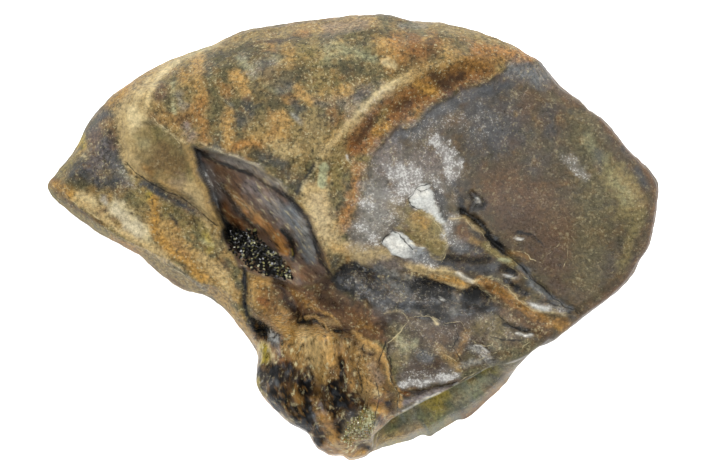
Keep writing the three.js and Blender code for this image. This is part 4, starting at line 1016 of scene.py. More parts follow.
CRACK_STROKES = [
    ("ink", 0.8, 0.3, 0.2, [(6.1, 2.0), (6.4, 1.7), (6.1, 1.5)]),
    ("black", 0.9, 0.1, 0.08, [(6.3, 2.05), (6.5, 1.7)]),
    # A painted glint.
    ("white", 0.9, 0.06, 0.06, [(6.1, 1.95), (6.25, 1.8)]),
    ("black", 1.0, 0.14, 0.08, [(5.35, 1.35), (5.8, 1.0), (6.2, 0.7)]),
    ("black", 1.0, 0.2, 0.08, [(6.2, 0.7), (6.65, 0.25), (7.0, -0.1), (7.35, -0.45)]),
    ("black", 0.95, 0.09, 0.06, [(7.35, -0.45), (7.8, -0.85)]),
    ("black", 0.8, 0.12, 0.1, [(5.5, 1.9), (5.3, 1.5), (5.45, 1.2)]),
    ("ink", 0.8, 0.14, 0.12, [(6.0, 0.5), (6.2, 0.1), (6.6, -0.2)]),
    ("steel", 0.7, 0.04, 0.05, [(6.2, 0.85), (6.5, 0.55)]),
    ("steel", 0.6, 0.04, 0.05, [(6.85, 0.2), (7.1, -0.05)]),
    ("pale tan", 0.6, 0.08, 0.12, [(4.9, 0.95), (5.5, 1.0), (5.95, 0.6), (6.4, 0.3)]),
    ("brown", 0.9, 0.26, 0.12, [(5.35, 0.45), (5.55, 0.1)]),
    ("khaki", 0.9, 0.16, 0.1, [(6.6, -0.35), (7.2, -0.75), (7.7, -1.1), (8.1, -1.3)]),
    ("pale green", 0.8, 0.08, 0.08, [(7.4, -1.05), (7.8, -1.15)]),
    ("amber", 0.6, 0.1, 0.1, [(7.8, -0.7), (8.4, -0.75), (8.8, -1.0)]),
    ("steel", 0.85, 0.15, 0.1, [(8.3, -1.4), (8.7, -1.7), (9.0, -2.1)]),
    ("black", 1.0, 0.16, 0.08, [(7.4, -1.55), (7.7, -1.55), (8.1, -1.8)]),
    # Painted glints beside the black hole.
    ("silver", 0.8, 0.04, 0.05, [(7.5, -1.88), (7.8, -1.95), (8.2, -1.95)]),
    ("black", 1.0, 0.18, 0.1, [(7.5, -2.15), (8.1, -2.4), (8.6, -2.75)]),
    ("steel", 0.8, 0.18, 0.12, [(8.8, -2.2), (9.4, -2.7), (10.1, -3.1), (10.8, -3.6)]),
    ("black", 0.95, 0.06, 0.05, [(9.2, -3.05), (9.9, -3.25), (10.4, -3.5), (10.9, -3.8)]),
    # A pale crust, with painted glints on it.
    ("silver", 0.8, 0.1, 0.08, [(8.9, -3.3), (9.3, -3.45), (9.7, -3.5)]),
    ("white", 0.8, 0.04, 0.05, [(8.95, -3.25), (9.3, -3.4)]),
    ("black", 0.95, 0.07, 0.06, [(8.2, 0.25), (8.5, 0.3), (8.8, 0.22)]),
    # A painted highlight on the slit's edge.
    ("white", 0.8, 0.05, 0.05, [(8.2, 0.0), (8.5, -0.03)]),
    ("umber", 0.8, 0.04, 0.04, [(9.0, 0.1), (9.4, -0.25)]),
]
VEIN_STROKES = [
    ("pale tan", 0.45, 0.06, 0.12, [(3.0, -1.45), (4.0, -1.6), (5.0, -1.7), (5.95, -2.15)]),
    ("cream", 0.4, 0.03, 0.07, [(4.0, -2.05), (4.8, -2.3), (5.5, -2.45), (5.95, -2.2)]),
    ("cream", 0.4, 0.03, 0.07, [(5.95, -2.15), (6.5, -2.5), (7.0, -3.0), (7.3, -3.2)]),
    ("cream", 0.5, 0.03, 0.08, [(5.95, -2.1), (6.8, -1.95), (7.3, -2.1), (8.1, -2.95),
                                (9.1, -3.6), (9.9, -3.7), (10.7, -3.8)]),
    ("cream", 0.25, 0.03, 0.08, [(1.7, -3.7), (2.5, -3.65), (2.85, -4.0), (2.1, -4.9)]),
    ("cream", 0.8, 0.05, 0.05, [(4.0, -3.9), (4.15, -4.2)]),
]

# The flakes and the leaf of enamel.
CHIP_EDGE = 0.03
CHIP_RAGGEDNESS = 0.04
LEAF_COVER = 0.92
FLAKE_STROKES = [
    ("gold", 0.6, 0.3, 0.25, [(3.2, 1.1), (3.6, 0.6)]),
    ("sand", 0.6, 0.25, 0.2, [(3.0, 0.6), (3.4, 0.2)]),
    ("sand", 0.6, 0.3, 0.25, [(3.9, 0.2), (4.2, -0.4)]),
    ("brown", 0.6, 0.15, 0.15, [(2.5, 0.7), (2.9, 0.3)]),
    ("cream", 0.5, 0.05, 0.08, [(3.75, 1.15), (4.3, 0.75), (4.6, 0.15), (4.75, -0.35),
                                (4.5, -0.8), (4.4, -1.1), (4.1, -1.1), (3.8, -0.7),
                                (3.65, -0.35), (3.0, -0.25)]),
    ("silver", 0.6, 0.1, 0.12, [(4.3, 1.0), (4.7, 0.5)]),
    ("steel", 0.8, 0.3, 0.2, [(3.1, -0.7), (3.6, -0.9)]),
    ("white", 0.8, 0.3, 0.2, [(1.9, -0.2), (2.4, -0.4)]),
    ("white", 0.8, 0.12, 0.12, [(3.0, 2.0), (3.4, 2.4), (3.7, 2.2)]),
]

# The amber stub of the root with its black patches, and the slab at its side.
STUB_COVER = 0.95
STUB_MOTTLES = [("brown", 0.8, 0.6, 35, -0.3, 0.3)]
DARK_STREAK_COVER = 0.5
PALE_STREAK_COVER = 0.6
DARK_STUB_TONES = (0.08, 0.04)
DARK_STUB_MOTTLES = [
    ("black", 0.9, 0.5, 45, -0.5, 0.0), ("slate", 0.5, 0.35, 47, 0.2, 0.5),
    ("amber", 0.35, 0.2, 46, 0.35, 0.5),
]
STUB_STROKES = [
    ("honey", 0.95, 0.65, 0.35, [(-2.5, -5.0), (-1.5, -5.1), (-1.5, -6.1), (-2.2, -6.5)]),
    ("pale tan", 0.8, 0.4, 0.35, [(-2.4, -5.0), (-1.8, -5.5), (-2.1, -6.4)]),
    ("tan", 0.8, 0.3, 0.3, [(-3.0, -5.4), (-2.8, -6.1)]),
    ("tan", 0.7, 0.25, 0.2, [(-0.8, -5.0), (-0.2, -5.2)]),
    ("brown", 1.0, 0.8, 0.35, [(-3.2, -2.7), (-2.4, -3.3), (-1.4, -3.6), (-0.4, -4.1),
                               (0.6, -4.3)]),
    ("umber", 0.7, 0.3, 0.25, [(-1.6, -2.9), (-0.7, -3.4)]),
    ("amber", 0.9, 0.55, 0.25, [(-4.7, -2.4), (-4.4, -3.2), (-3.9, -4.1), (-3.3, -4.6)]),
    ("tan", 0.8, 0.2, 0.18, [(-5.0, -2.3), (-5.0, -3.0), (-4.7, -3.9)]),
    ("honey", 0.6, 0.2, 0.2, [(-4.9, -2.2), (-4.3, -2.1)]),
    ("brown", 0.6, 0.25, 0.2, [(-4.2, -2.6), (-3.9, -3.3)]),
    ("rust", 0.9, 0.15, 0.12, [(-4.65, -3.05), (-4.4, -3.1)]),
    ("dark brown", 0.7, 0.18, 0.15, [(-4.85, -3.65), (-4.6, -3.8)]),
    ("gold", 0.8, 0.2, 0.15, [(-3.7, -4.1), (-3.2, -4.6), (-3.0, -5.0)]),
    ("umber", 0.9, 0.22, 0.2, [(-3.7, -2.1), (-3.3, -2.9), (-2.9, -3.7)]),
    ("amber", 0.8, 0.12, 0.12, [(-2.9, -2.7), (-2.3, -3.1), (-1.9, -3.2)]),
    ("umber", 0.95, 0.16, 0.12, [(-3.0, -3.5), (-2.7, -4.1), (-2.1, -4.2)]),
    ("umber", 0.95, 0.08, 0.07, [(-2.4, -3.85), (-1.7, -3.75), (-1.1, -3.8)]),
    ("umber", 1.0, 0.09, 0.07, [(-1.9, -4.05), (-1.4, -4.3), (-1.0, -4.65), (-0.5, -4.6)]),
    ("honey", 0.8, 0.06, 0.05, STUB_WRINKLES[1]),
    ("honey", 0.8, 0.06, 0.05, STUB_WRINKLES[2]),
    ("tan", 0.8, 0.06, 0.05, STUB_WRINKLES[3]),
    ("tan", 0.7, 0.1, 0.1, [(-1.3, -4.1), (-0.7, -4.3)]),
    ("ink", 1.0, 0.12, 0.08, [(-5.35, -1.5), (-5.3, -2.4), (-5.4, -3.2), (-5.25, -3.8)]),
    ("ink", 1.0, 0.28, 0.1, [(-5.0, -4.2), (-4.5, -4.55), (-4.1, -4.8), (-3.8, -5.0)]),
    # The next four strokes are painted glints on the glassy end of the black seam.
    ("white", 0.85, 0.05, 0.04, [(-4.1, -4.7), (-3.9, -4.85)]),
    ("silver", 0.85, 0.05, 0.04, [(-4.1, -5.0), (-3.8, -5.05), (-3.6, -5.2)]),
    ("white", 0.8, 0.04, 0.04, [(-3.75, -4.85), (-3.6, -5.0)]),
    ("steel", 0.7, 0.1, 0.1, [(-4.1, -5.25), (-3.7, -5.4)]),
    ("lilac", 0.9, 0.12, 0.1, [(-3.7, -5.7), (-3.6, -5.85)]),
    ("tan", 0.9, 0.15, 0.1, [(-5.6, -4.2), (-5.2, -4.7), (-4.85, -5.2)]),
    ("tan", 0.95, 0.42, 0.1, [(-4.4, -5.5), (-4.25, -5.9), (-4.4, -6.4)]),
    ("cream", 0.9, 0.34, 0.08, [(-4.35, -5.5), (-4.2, -5.9), (-4.35, -6.4)]),
    ("mustard", 1.0, 0.24, 0.08, [(-4.35, -5.5), (-4.25, -5.9), (-4.35, -6.3)]),
    ("dark olive", 0.6, 0.05, 0.05, [(-4.35, -5.7), (-4.3, -6.2)]),
    ("rust", 0.85, 0.22, 0.2, [(-3.7, -6.15), (-3.3, -6.2)]),
    ("dark brown", 0.95, 0.7, 0.35, [(-3.4, -6.9), (-2.6, -7.4), (-2.6, -8.2)]),
    ("umber", 0.8, 0.25, 0.2, [(-3.9, -6.4), (-3.2, -6.5), (-2.7, -6.9)]),
    ("slate", 0.8, 0.2, 0.15, [(-3.1, -6.6), (-2.9, -6.9)]),
    ("black", 1.0, 0.65, 0.15, [(-4.3, -6.9), (-4.0, -7.6), (-3.5, -8.3)]),
    ("black", 1.0, 0.5, 0.15, [(-3.2, -8.3), (-2.7, -8.8), (-2.4, -9.4)]),
    ("brown", 0.6, 0.12, 0.12, [(-4.2, -7.2), (-3.7, -7.6)]),
    # A painted highlight on the black lump.
    ("steel", 0.5, 0.1, 0.12, [(-3.9, -7.0), (-3.6, -7.4)]),
    ("mustard", 0.7, 0.08, 0.08, [(-4.75, -7.0), (-4.65, -7.5), (-4.4, -7.9)]),
    ("sand", 0.8, 0.1, 0.1, [(-3.5, -8.7), (-3.2, -8.9), (-2.9, -9.2)]),
    ("black", 0.95, 0.25, 0.15, [(-2.2, -6.6), (-2.1, -7.2), (-2.4, -7.7), (-2.3, -8.3)]),
    ("slate", 0.8, 0.14, 0.12, [(-2.3, -6.5), (-2.3, -6.9)]),
    ("amber", 0.8, 0.15, 0.15, [(-2.8, -7.4), (-2.6, -8.1)]),
    ("ink", 0.95, 0.2, 0.15, [(-2.2, -8.5), (-1.9, -9.3), (-1.6, -10.2)]),
    ("steel", 0.6, 0.06, 0.08, [(-2.0, -8.7), (-1.75, -9.4)]),
    ("amber", 0.7, 0.15, 0.12, [(-2.0, -8.0), (-1.6, -8.6)]),
    ("tan", 0.9, 0.2, 0.2, [(-1.5, -6.6), (-1.3, -7.4), (-1.3, -8.0)]),
    ("amber", 0.8, 0.2, 0.2, [(-0.8, -6.6), (-0.7, -7.4)]),
    ("umber", 0.9, 0.14, 0.15, [(-0.6, -6.0), (-0.5, -6.8), (-0.4, -7.5)]),
    ("umber", 1.0, 0.7, 0.3, [(-1.0, -7.7), (-0.7, -8.3), (-0.3, -8.7), (0.3, -8.2)]),
    ("black", 0.95, 0.3, 0.2, [(-0.6, -8.0), (-0.5, -8.7), (-0.1, -9.0), (0.2, -8.6)]),
    ("brown", 0.7, 0.14, 0.14, [(-0.2, -7.5), (0.0, -8.3)]),
    ("dark brown", 0.8, 0.2, 0.2, [(0.2, -6.6), (0.4, -7.7)]),
    ("umber", 0.95, 0.4, 0.2, [(-1.3, -8.3), (-0.9, -9.1), (-0.5, -9.6)]),
    ("lilac", 0.7, 0.08, 0.08, [(-1.65, -8.2), (-1.3, -8.9), (-0.95, -9.4)]),
    ("amber", 0.9, 0.3, 0.15, [(-1.4, -9.0), (-1.1, -9.6), (-0.8, -10.1), (-0.9, -10.6)]),
    ("honey", 0.8, 0.15, 0.12, [(-1.2, -9.6), (-0.8, -10.3)]),
    ("sand", 0.9, 0.5, 0.3, [(0.0, -9.6), (0.6, -9.3), (0.6, -10.0)]),
    ("pale green", 0.9, 0.25, 0.15, [(0.6, -9.5), (0.9, -9.2), (1.0, -8.7)]),
    ("white", 0.7, 0.12, 0.12, [(0.6, -9.65), (0.8, -9.4)]),
    ("umber", 0.9, 0.12, 0.1, [(0.2, -10.25), (0.8, -10.45)]),
    ("gold", 0.9, 0.15, 0.12, [(-0.5, -10.6), (0.0, -10.85), (0.6, -10.75)]),
    ("cream", 0.5, 0.08, 0.08, [(-0.8, -10.4), (-0.2, -10.5)]),
]
SLAB_STROKES = [
    ("tan", 0.75, 0.6, 0.25, [(0.6, -5.7), (0.9, -6.6), (0.9, -7.5)]),
    ("amber", 0.5, 0.4, 0.3, [(0.5, -6.0), (0.8, -7.0)]),
    ("brown", 0.4, 0.4, 0.3, [(1.2, -6.2), (1.5, -7.2)]),
    ("lilac", 0.35, 0.25, 0.2, [(1.0, -6.4), (1.3, -7.0)]),
    ("honey", 0.35, 0.3, 0.3, [(0.7, -6.6), (0.8, -7.5)]),
    ("brown", 0.9, 0.25, 0.15, [(0.5, -4.5), (1.2, -4.7), (1.5, -5.0)]),
    ("amber", 0.6, 0.15, 0.12, [(0.4, -4.35), (1.0, -4.5)]),
    ("dark brown", 0.8, 0.14, 0.12, [(0.15, -5.2), (0.6, -5.6), (1.0, -5.8)]),
    ("honey", 0.9, 0.12, 0.08, [(0.1, -4.7), (0.5, -5.05), (1.1, -5.35), (1.5, -5.7),
                                (1.75, -6.3), (1.95, -7.0), (2.25, -7.7), (2.4, -8.3)]),
    ("umber", 0.95, 0.06, 0.05, [(1.85, -5.3), (1.75, -5.9), (1.9, -6.6), (2.1, -7.3),
                                 (2.3, -8.1)]),
    ("cream", 0.7, 0.1, 0.12, [(1.1, -7.6), (1.35, -7.75)]),
    ("cream", 0.8, 0.05, 0.05, [(0.15, -6.6), (0.2, -6.8)]),
    ("gold", 0.8, 0.2, 0.15, [(1.2, -8.4), (1.6, -8.7)]),
    ("umber", 0.85, 0.15, 0.12, [(1.8, -8.2), (2.0, -8.6)]),
    ("rust", 0.7, 0.1, 0.1, [(1.0, -8.0), (1.4, -8.1)]),
]

# The glassy dark band of the broken face. Its steel patches are partly a painted sheen on the
# glassy black.
DARK_GLASS = [
    (-0.9, -1.3), (0.5, -1.25), (2.2, -1.8), (3.2, -2.0), (4.6, -2.3), (5.6, -2.6), (6.8, -3.0),
    (7.4, -3.6), (5.6, -3.9), (4.6, -4.2), (3.0, -3.9), (1.6, -3.5), (0.4, -3.0), (-0.7, -2.3),
]
DARK_GLASS_TONES = (0.1, 0.05)
DARK_GLASS_MOTTLES = [
    ("black", 0.85, 0.5, 42, -0.15, 0.2), ("slate", 0.8, 0.3, 43, 0.15, 0.4),
    ("steel", 0.6, 0.2, 44, 0.3, 0.5),
]
DARK_GLASS_STROKES = [
    ("slate", 0.7, 0.4, 0.3, [(1.2, -1.8), (2.0, -2.5), (2.6, -3.1)]),
    ("ash", 0.5, 0.25, 0.3, [(1.5, -2.0), (2.3, -2.5), (2.5, -2.8)]),
    ("black", 0.95, 0.4, 0.2, [(3.3, -2.5), (4.0, -2.6), (4.6, -3.0)]),
    ("black", 0.9, 0.3, 0.2, [(3.4, -3.2), (4.0, -3.7), (4.6, -3.8)]),
    ("black", 0.95, 0.28, 0.15, [(5.7, -2.8), (6.3, -3.1), (6.8, -3.3)]),
    ("black", 0.9, 0.25, 0.15, [(-0.4, -1.6), (0.3, -1.75), (0.9, -2.0)]),
    ("ash", 0.5, 0.1, 0.15, [(5.0, -2.7), (5.2, -3.3), (5.0, -3.8)]),
    # A painted highlight and a painted glint on the glassy black.
    ("steel", 0.7, 0.05, 0.06, [(4.0, -3.0), (4.3, -3.15)]),
    ("white", 0.6, 0.03, 0.04, [(4.35, -2.95), (4.55, -3.1)]),
]

# The mossy ledge below the lip.
LEDGE_MOTTLES = [
    ("olive", 0.7, 0.5, 34, -0.1, 0.3), ("steel", 0.6, 0.35, 36, 0.1, 0.5),
    ("mustard", 0.5, 0.6, 37, 0.2, 0.5),
]
LEDGE_STROKES = [
    ("ash", 0.5, 0.3, 0.25, [(6.9, -6.8), (6.2, -7.4), (5.4, -7.9)]),
    ("pale green", 0.5, 0.25, 0.2, [(6.7, -6.9), (6.0, -7.7)]),
    ("slate", 0.7, 0.25, 0.25, [(6.1, -8.3), (5.3, -8.6)]),
    ("mustard", 0.8, 0.2, 0.15, [(4.7, -7.8), (4.2, -8.1), (3.7, -8.5)]),
    ("dark olive", 0.6, 0.25, 0.2, [(5.0, -8.2), (4.2, -8.7)]),
    ("ash", 0.6, 0.2, 0.2, [(3.4, -8.7), (2.9, -9.1)]),
    ("slate", 0.5, 0.3, 0.25, [(1.8, -9.3), (2.4, -9.5)]),
    ("tan", 0.85, 0.18, 0.12, [(5.4, -9.1), (4.0, -9.75), (2.6, -10.15), (1.3, -10.5)]),
    ("rust", 0.8, 0.26, 0.15, [(9.4, -5.6), (8.4, -6.5), (7.5, -7.6), (6.6, -8.5), (5.7, -9.1)]),
    ("umber", 0.6, 0.08, 0.1, [(9.2, -5.6), (8.1, -6.4), (7.1, -7.5), (6.2, -8.4)]),
    ("honey", 0.4, 0.08, 0.1, [(8.3, -6.5), (7.4, -7.6), (6.5, -8.5)]),
]

# Frosted places, where fine white crystals show through, with a painted sheen and painted glints
# where the enamel reflects the light, and painted highlights above the lip and on the hollow's rim,
# as (strength, half width, softness, points).
FROST_AND_SHEEN = [
    # The painted sheen of the enamel, where it reflects the light.
    (0.95, 0.3, 0.35, [(4.2, 4.7), (4.8, 4.3), (5.1, 3.6), (4.9, 3.2)]),
    (1.0, 0.45, 0.4, [(2.2, 3.2), (3.0, 3.1), (2.6, 2.5)]),
    (0.8, 0.2, 0.3, [(3.2, 2.8), (2.5, 2.2)]),
    (0.2, 1.0, 0.9, [(1.6, 3.4), (3.4, 3.8), (3.8, 2.4)]),
    (0.22, 0.9, 0.8, [(0.9, 1.7), (1.8, 1.2), (1.6, 0.4), (0.7, 0.2)]),
    (0.7, 0.2, 0.25, [(0.6, 1.7), (1.1, 1.6)]),
    (0.6, 0.25, 0.3, [(0.5, 0.5), (1.1, 0.1)]),
    (0.5, 0.3, 0.3, [(2.2, 1.9), (1.7, 2.3)]),
    (0.4, 0.3, 0.3, [(4.2, 3.0), (4.4, 2.5)]),
    (0.17, 0.8, 0.7, [(3.2, 5.2), (4.6, 5.7), (6.4, 5.6)]),
    (0.09, 0.8, 0.7, [(6.3, 6.6), (7.2, 4.8)]),
    (0.35, 0.2, 0.25, [(10.7, 3.85), (11.2, 3.5), (11.6, 3.15)]),
    (0.035, 1.5, 1.0, [(5.6, 5.0), (7.4, 5.4), (8.6, 3.6), (9.0, 1.5)]),
    (0.07, 0.6, 0.5, [(8.2, 8.3), (8.4, 6.6), (8.1, 6.1)]),
    # A painted highlight on the band above the lip, where the surface turns down.
    (0.9, 0.16, 0.14, [(2.45, -7.3), (3.5, -7.15), (4.4, -6.95), (5.25, -6.8)]),
    (0.25, 0.3, 0.3, [(2.7, -6.9), (3.8, -6.8), (4.9, -6.6)]),
    (0.12, 0.6, 0.4, [(2.4, -5.6), (3.6, -5.8), (3.0, -6.4)]),
    (0.14, 0.4, 0.4, [(-0.1, -2.0), (0.3, -2.3), (1.1, -2.8), (1.6, -3.2)]),
    (0.1, 0.6, 0.3, [(2.2, -2.6), (3.4, -2.8), (4.6, -3.2)]),
    (0.12, 0.8, 0.5, [(3.0, -4.6), (4.6, -5.0), (6.4, -4.2), (7.6, -4.6)]),
    (0.35, 0.3, 0.25, [(2.6, -0.7), (3.3, -1.0), (4.0, -1.3)]),
    (0.1, 0.4, 0.3, [(-4.5, -6.9), (-4.2, -7.3)]),
    (0.4, 0.25, 0.25, [(5.0, 1.0), (4.7, 0.2), (5.4, -0.4)]),
    (0.1, 0.12, 0.12, [(7.4, -1.9), (8.3, -2.0)]),
    (0.25, 0.12, 0.12, [(8.8, -3.2), (9.4, -3.4), (10.5, -3.6)]),
    (0.25, 0.2, 0.2, [(5.9, -5.4), (6.8, -6.0)]),
    # Painted highlight on the lip of the hollow's rim.
    (0.2, 0.12, 0.12, [(-6.9, 4.5), (-5.7, 4.0), (-4.4, 3.35), (-3.3, 2.4)]),
    (0.06, 0.4, 0.3, [(-6.6, 2.8), (-5.6, 1.6), (-4.6, 1.0)]),
    (0.3, 0.25, 0.25, [(-7.2, 3.3), (-6.7, 2.1)]),
    (0.2, 0.25, 0.3, [(-11.7, 3.5), (-11.2, 2.7)]),
    (0.15, 0.3, 0.25, [(-5.3, 8.8), (-4.9, 8.3), (-3.8, 8.9)]),
    (0.12, 0.5, 0.4, [(0.0, 6.0), (1.4, 7.2)]),
    (0.1, 0.4, 0.35, [(0.0, -8.9), (-0.2, -9.4), (0.8, -9.6)]),
]

on_enamel = within(ENAMEL, -0.05, 0.1)
in_hollow = within(PULP_HOLLOW, -0.05, 0.08)
on_stub = within(ROOT_STUB, -0.3, 0.4)
neighbours = range(-LEDGE_BLEND_COLUMNS, LEDGE_BLEND_COLUMNS + 1)
ledge_by_column = np.mean([np.roll(ledge, shift) for shift in neighbours], axis=0)
on_ledge = by_vertex(ledge_by_column) * (ring_number >= FRONT_RINGS) * seen_from_front

# The layers of colour, from the lowest up.
lay("olive", np.ones(len(places)))
mottle(DENTINE_MOTTLES)
paint(DOME)
lay("khaki", np.full(len(places), DOME_HAZE))
paint(RIM + SADDLE)
lay("enamel brown", on_enamel)
mottle(ENAMEL_MOTTLES, on_enamel)
lay("amber", STUB_COVER * on_stub)
mottle(STUB_MOTTLES, on_stub)
streaks = fibres(places[:, 0], places[:, 1], 41)
lay("umber", DARK_STREAK_COVER * on_stub * smooth(0.1, 0.6, streaks))
lay("honey", PALE_STREAK_COVER * on_stub * smooth(-0.1, -0.6, streaks))
lay("mauve", in_hollow)
paint(CARINA_STROKES + WING + BEVEL + LOBE_STROKES + HOLLOW)
paint(ENAMEL_STROKES + LOWER_FACE + STUB_STROKES + SLAB_STROKES)
for chip, pigment, cover in [(FLAKES[0], "silver", 1), (FLAKES[1], "silver", 1),
                             (LEAF, "khaki", LEAF_COVER)]:
    chip_depth = depth_inside(chip, spot_x, spot_y) + CHIP_RAGGEDNESS * ragged
    lay(pigment, cover * smooth(-CHIP_EDGE, CHIP_EDGE, chip_depth) * seen_from_front)
on_dark_glass = within(DARK_GLASS, 0, 0.15) * smooth(*DARK_GLASS_TONES, skin.mean(axis=1))
mottle(DARK_GLASS_MOTTLES, on_dark_glass)
paint(DARK_GLASS_STROKES)
mottle(DARK_STUB_MOTTLES, on_stub * smooth(*DARK_STUB_TONES, skin.mean(axis=1)))
paint(CRACK_STROKES + VEIN_STROKES + FLAKE_STROKES)
lay("moss", on_ledge)
mottle(LEDGE_MOTTLES, on_ledge)
skin_before_strokes = skin.copy()
paint(LEDGE_STROKES)
skin[:] = skin_before_strokes + (skin - skin_before_strokes) * on_ledge[:, None]
for strength, half_width, softness, line in FROST_AND_SHEEN:
    frost_and_sheen = np.maximum(frost_and_sheen, strength * brush(line, half_width, softness))
frost_and_sheen *= 1 - on_ledge

# Where the grain is drawn from, in millimetres: stretched into fibres down the stub and along
# the hollow.
GRAIN_FIBRE_SPREAD = 5
GRAIN_FIBRE_STRETCH = 0.35
GRAIN_FIBRE_RISE = 0.7
FIBRES_START_AT_Y = -3.5
FIBRES_FULL_AT_Y = -5.0
HOLLOW_DIRECTION = (0.66, -0.75)
HOLLOW_STRETCH = 0.3
fibre_place = fanned(*places[:, :2].T, GRAIN_FIBRE_RISE * places[:, 2],
                     GRAIN_FIBRE_SPREAD, GRAIN_FIBRE_STRETCH)
along_hollow = places[:, 0] * HOLLOW_DIRECTION[0] + places[:, 1] * HOLLOW_DIRECTION[1]
across_hollow = places[:, 1] * HOLLOW_DIRECTION[0] - places[:, 0] * HOLLOW_DIRECTION[1]
hollow_place = np.stack([HOLLOW_STRETCH * along_hollow, across_hollow, 0 * along_hollow], axis=-1)
beside_slab = depth_inside(SLAB, spot_x, spot_y) < 0
fibrous = (depth_inside(ROOT_STUB, spot_x, spot_y) > 0) * beside_slab
fibrous = fibrous * smooth(FIBRES_START_AT_Y, FIBRES_FULL_AT_Y, spot_y) * seen_from_front
grain_place = places
for stretched, share in [(fibre_place, fibrous), (hollow_place, in_hollow)]:
    grain_place = grain_place * (1 - share[:, None]) + stretched * share[:, None]

# The finish: dull and gritty dentine, and what each kind of surface adds to its roughness, its
# shine and its grit.
DENTINE_FINISH = (0.46, 0.2, 1.0)
STEEP_SHINE_SHARE = 0.3
DARK_GRIT_LOSS = 0.65
PALE_GRIT_LOSS = 0.7
lightness = skin.mean(axis=1)
surface_kinds = [
    (on_enamel, (-0.1, 0.12, -0.4)),
    (in_hollow, (-0.12, 0.2, -0.1)),
    (on_stub, (-0.14, 0.1, 0.4)),
    (smooth(0.06, 0.015, lightness), (-0.16, 0, 0)),
    (on_stub * smooth(0.08, 0.03, lightness), (0, -0.2, 0)),
    (within(LOBE, -0.1, 0.2), (0, 0, -0.7)),
    (within(SLAB, -0.05, 0.1), (0, 0, -0.4)),
    (within(BROKEN_FACE, 0, 0.3), (0, 0, 0.4)),
]
finish = np.outer(DENTINE_FINISH, np.ones(len(places)))
for where, changes in surface_kinds:
    finish += np.outer(changes, where)
roughness, shine, grit = finish
grit *= 1 - DARK_GRIT_LOSS * smooth(0.09, 0.02, lightness)
grit *= 1 - PALE_GRIT_LOSS * smooth(0.18, 0.4, lightness)
normals = np.empty(3 * len(mesh.vertices), np.float32)
mesh.vertices.foreach_get("normal", normals)
upright = smooth(0.1, 0.7, np.abs(normals[2::3]))
shine *= STEEP_SHINE_SHARE + (1 - STEEP_SHINE_SHARE) * upright

# A flat map of the skin for a painted texture: the front large, the back small above it.
MAP_SCALE = 0.031
FRONT_MAP_MIDDLE = np.array([0.5, 0.36])
BACK_MAP_SCALE = 0.012
BACK_MAP_MIDDLE = np.array([0.5, 0.86])
face_sizes = np.concatenate([np.full(COLUMNS, 3), np.full(len(quads), 4), np.full(COLUMNS, 3)])
face_ring = np.concatenate([
    np.zeros(COLUMNS), quads[:, 0] // COLUMNS + 1, np.full(COLUMNS, ring_count)])
on_front_map = np.repeat(face_ring < shown_rings, face_sizes)
corner_vertex = np.empty(len(mesh.loops), np.int32)
mesh.loops.foreach_get("vertex_index", corner_vertex)
outward = np.vstack([[[0, 0]], np.tile(edge, (ring_count, 1)), [[0, 0]]])[corner_vertex]
corner_ring = ring_number[corner_vertex]
front_share = np.minimum(corner_ring / shown_rings, 1)[:, None]
back_share = np.clip((ring_count + 1 - corner_ring) / (BACK_RINGS + 1), 0, 1)[:, None]
front_map = FRONT_MAP_MIDDLE + MAP_SCALE * front_share * (outward - FRONT_POLE)
back_map = BACK_MAP_MIDDLE + BACK_MAP_SCALE * back_share * (outward - BACK_POLE) * (-1, 1)
flat_map = mesh.uv_layers.new(name="OFBake")
corner_places = np.where(on_front_map[:, None], front_map, back_map)
flat_map.data.foreach_set("uv", corner_places.astype(np.float32).ravel())

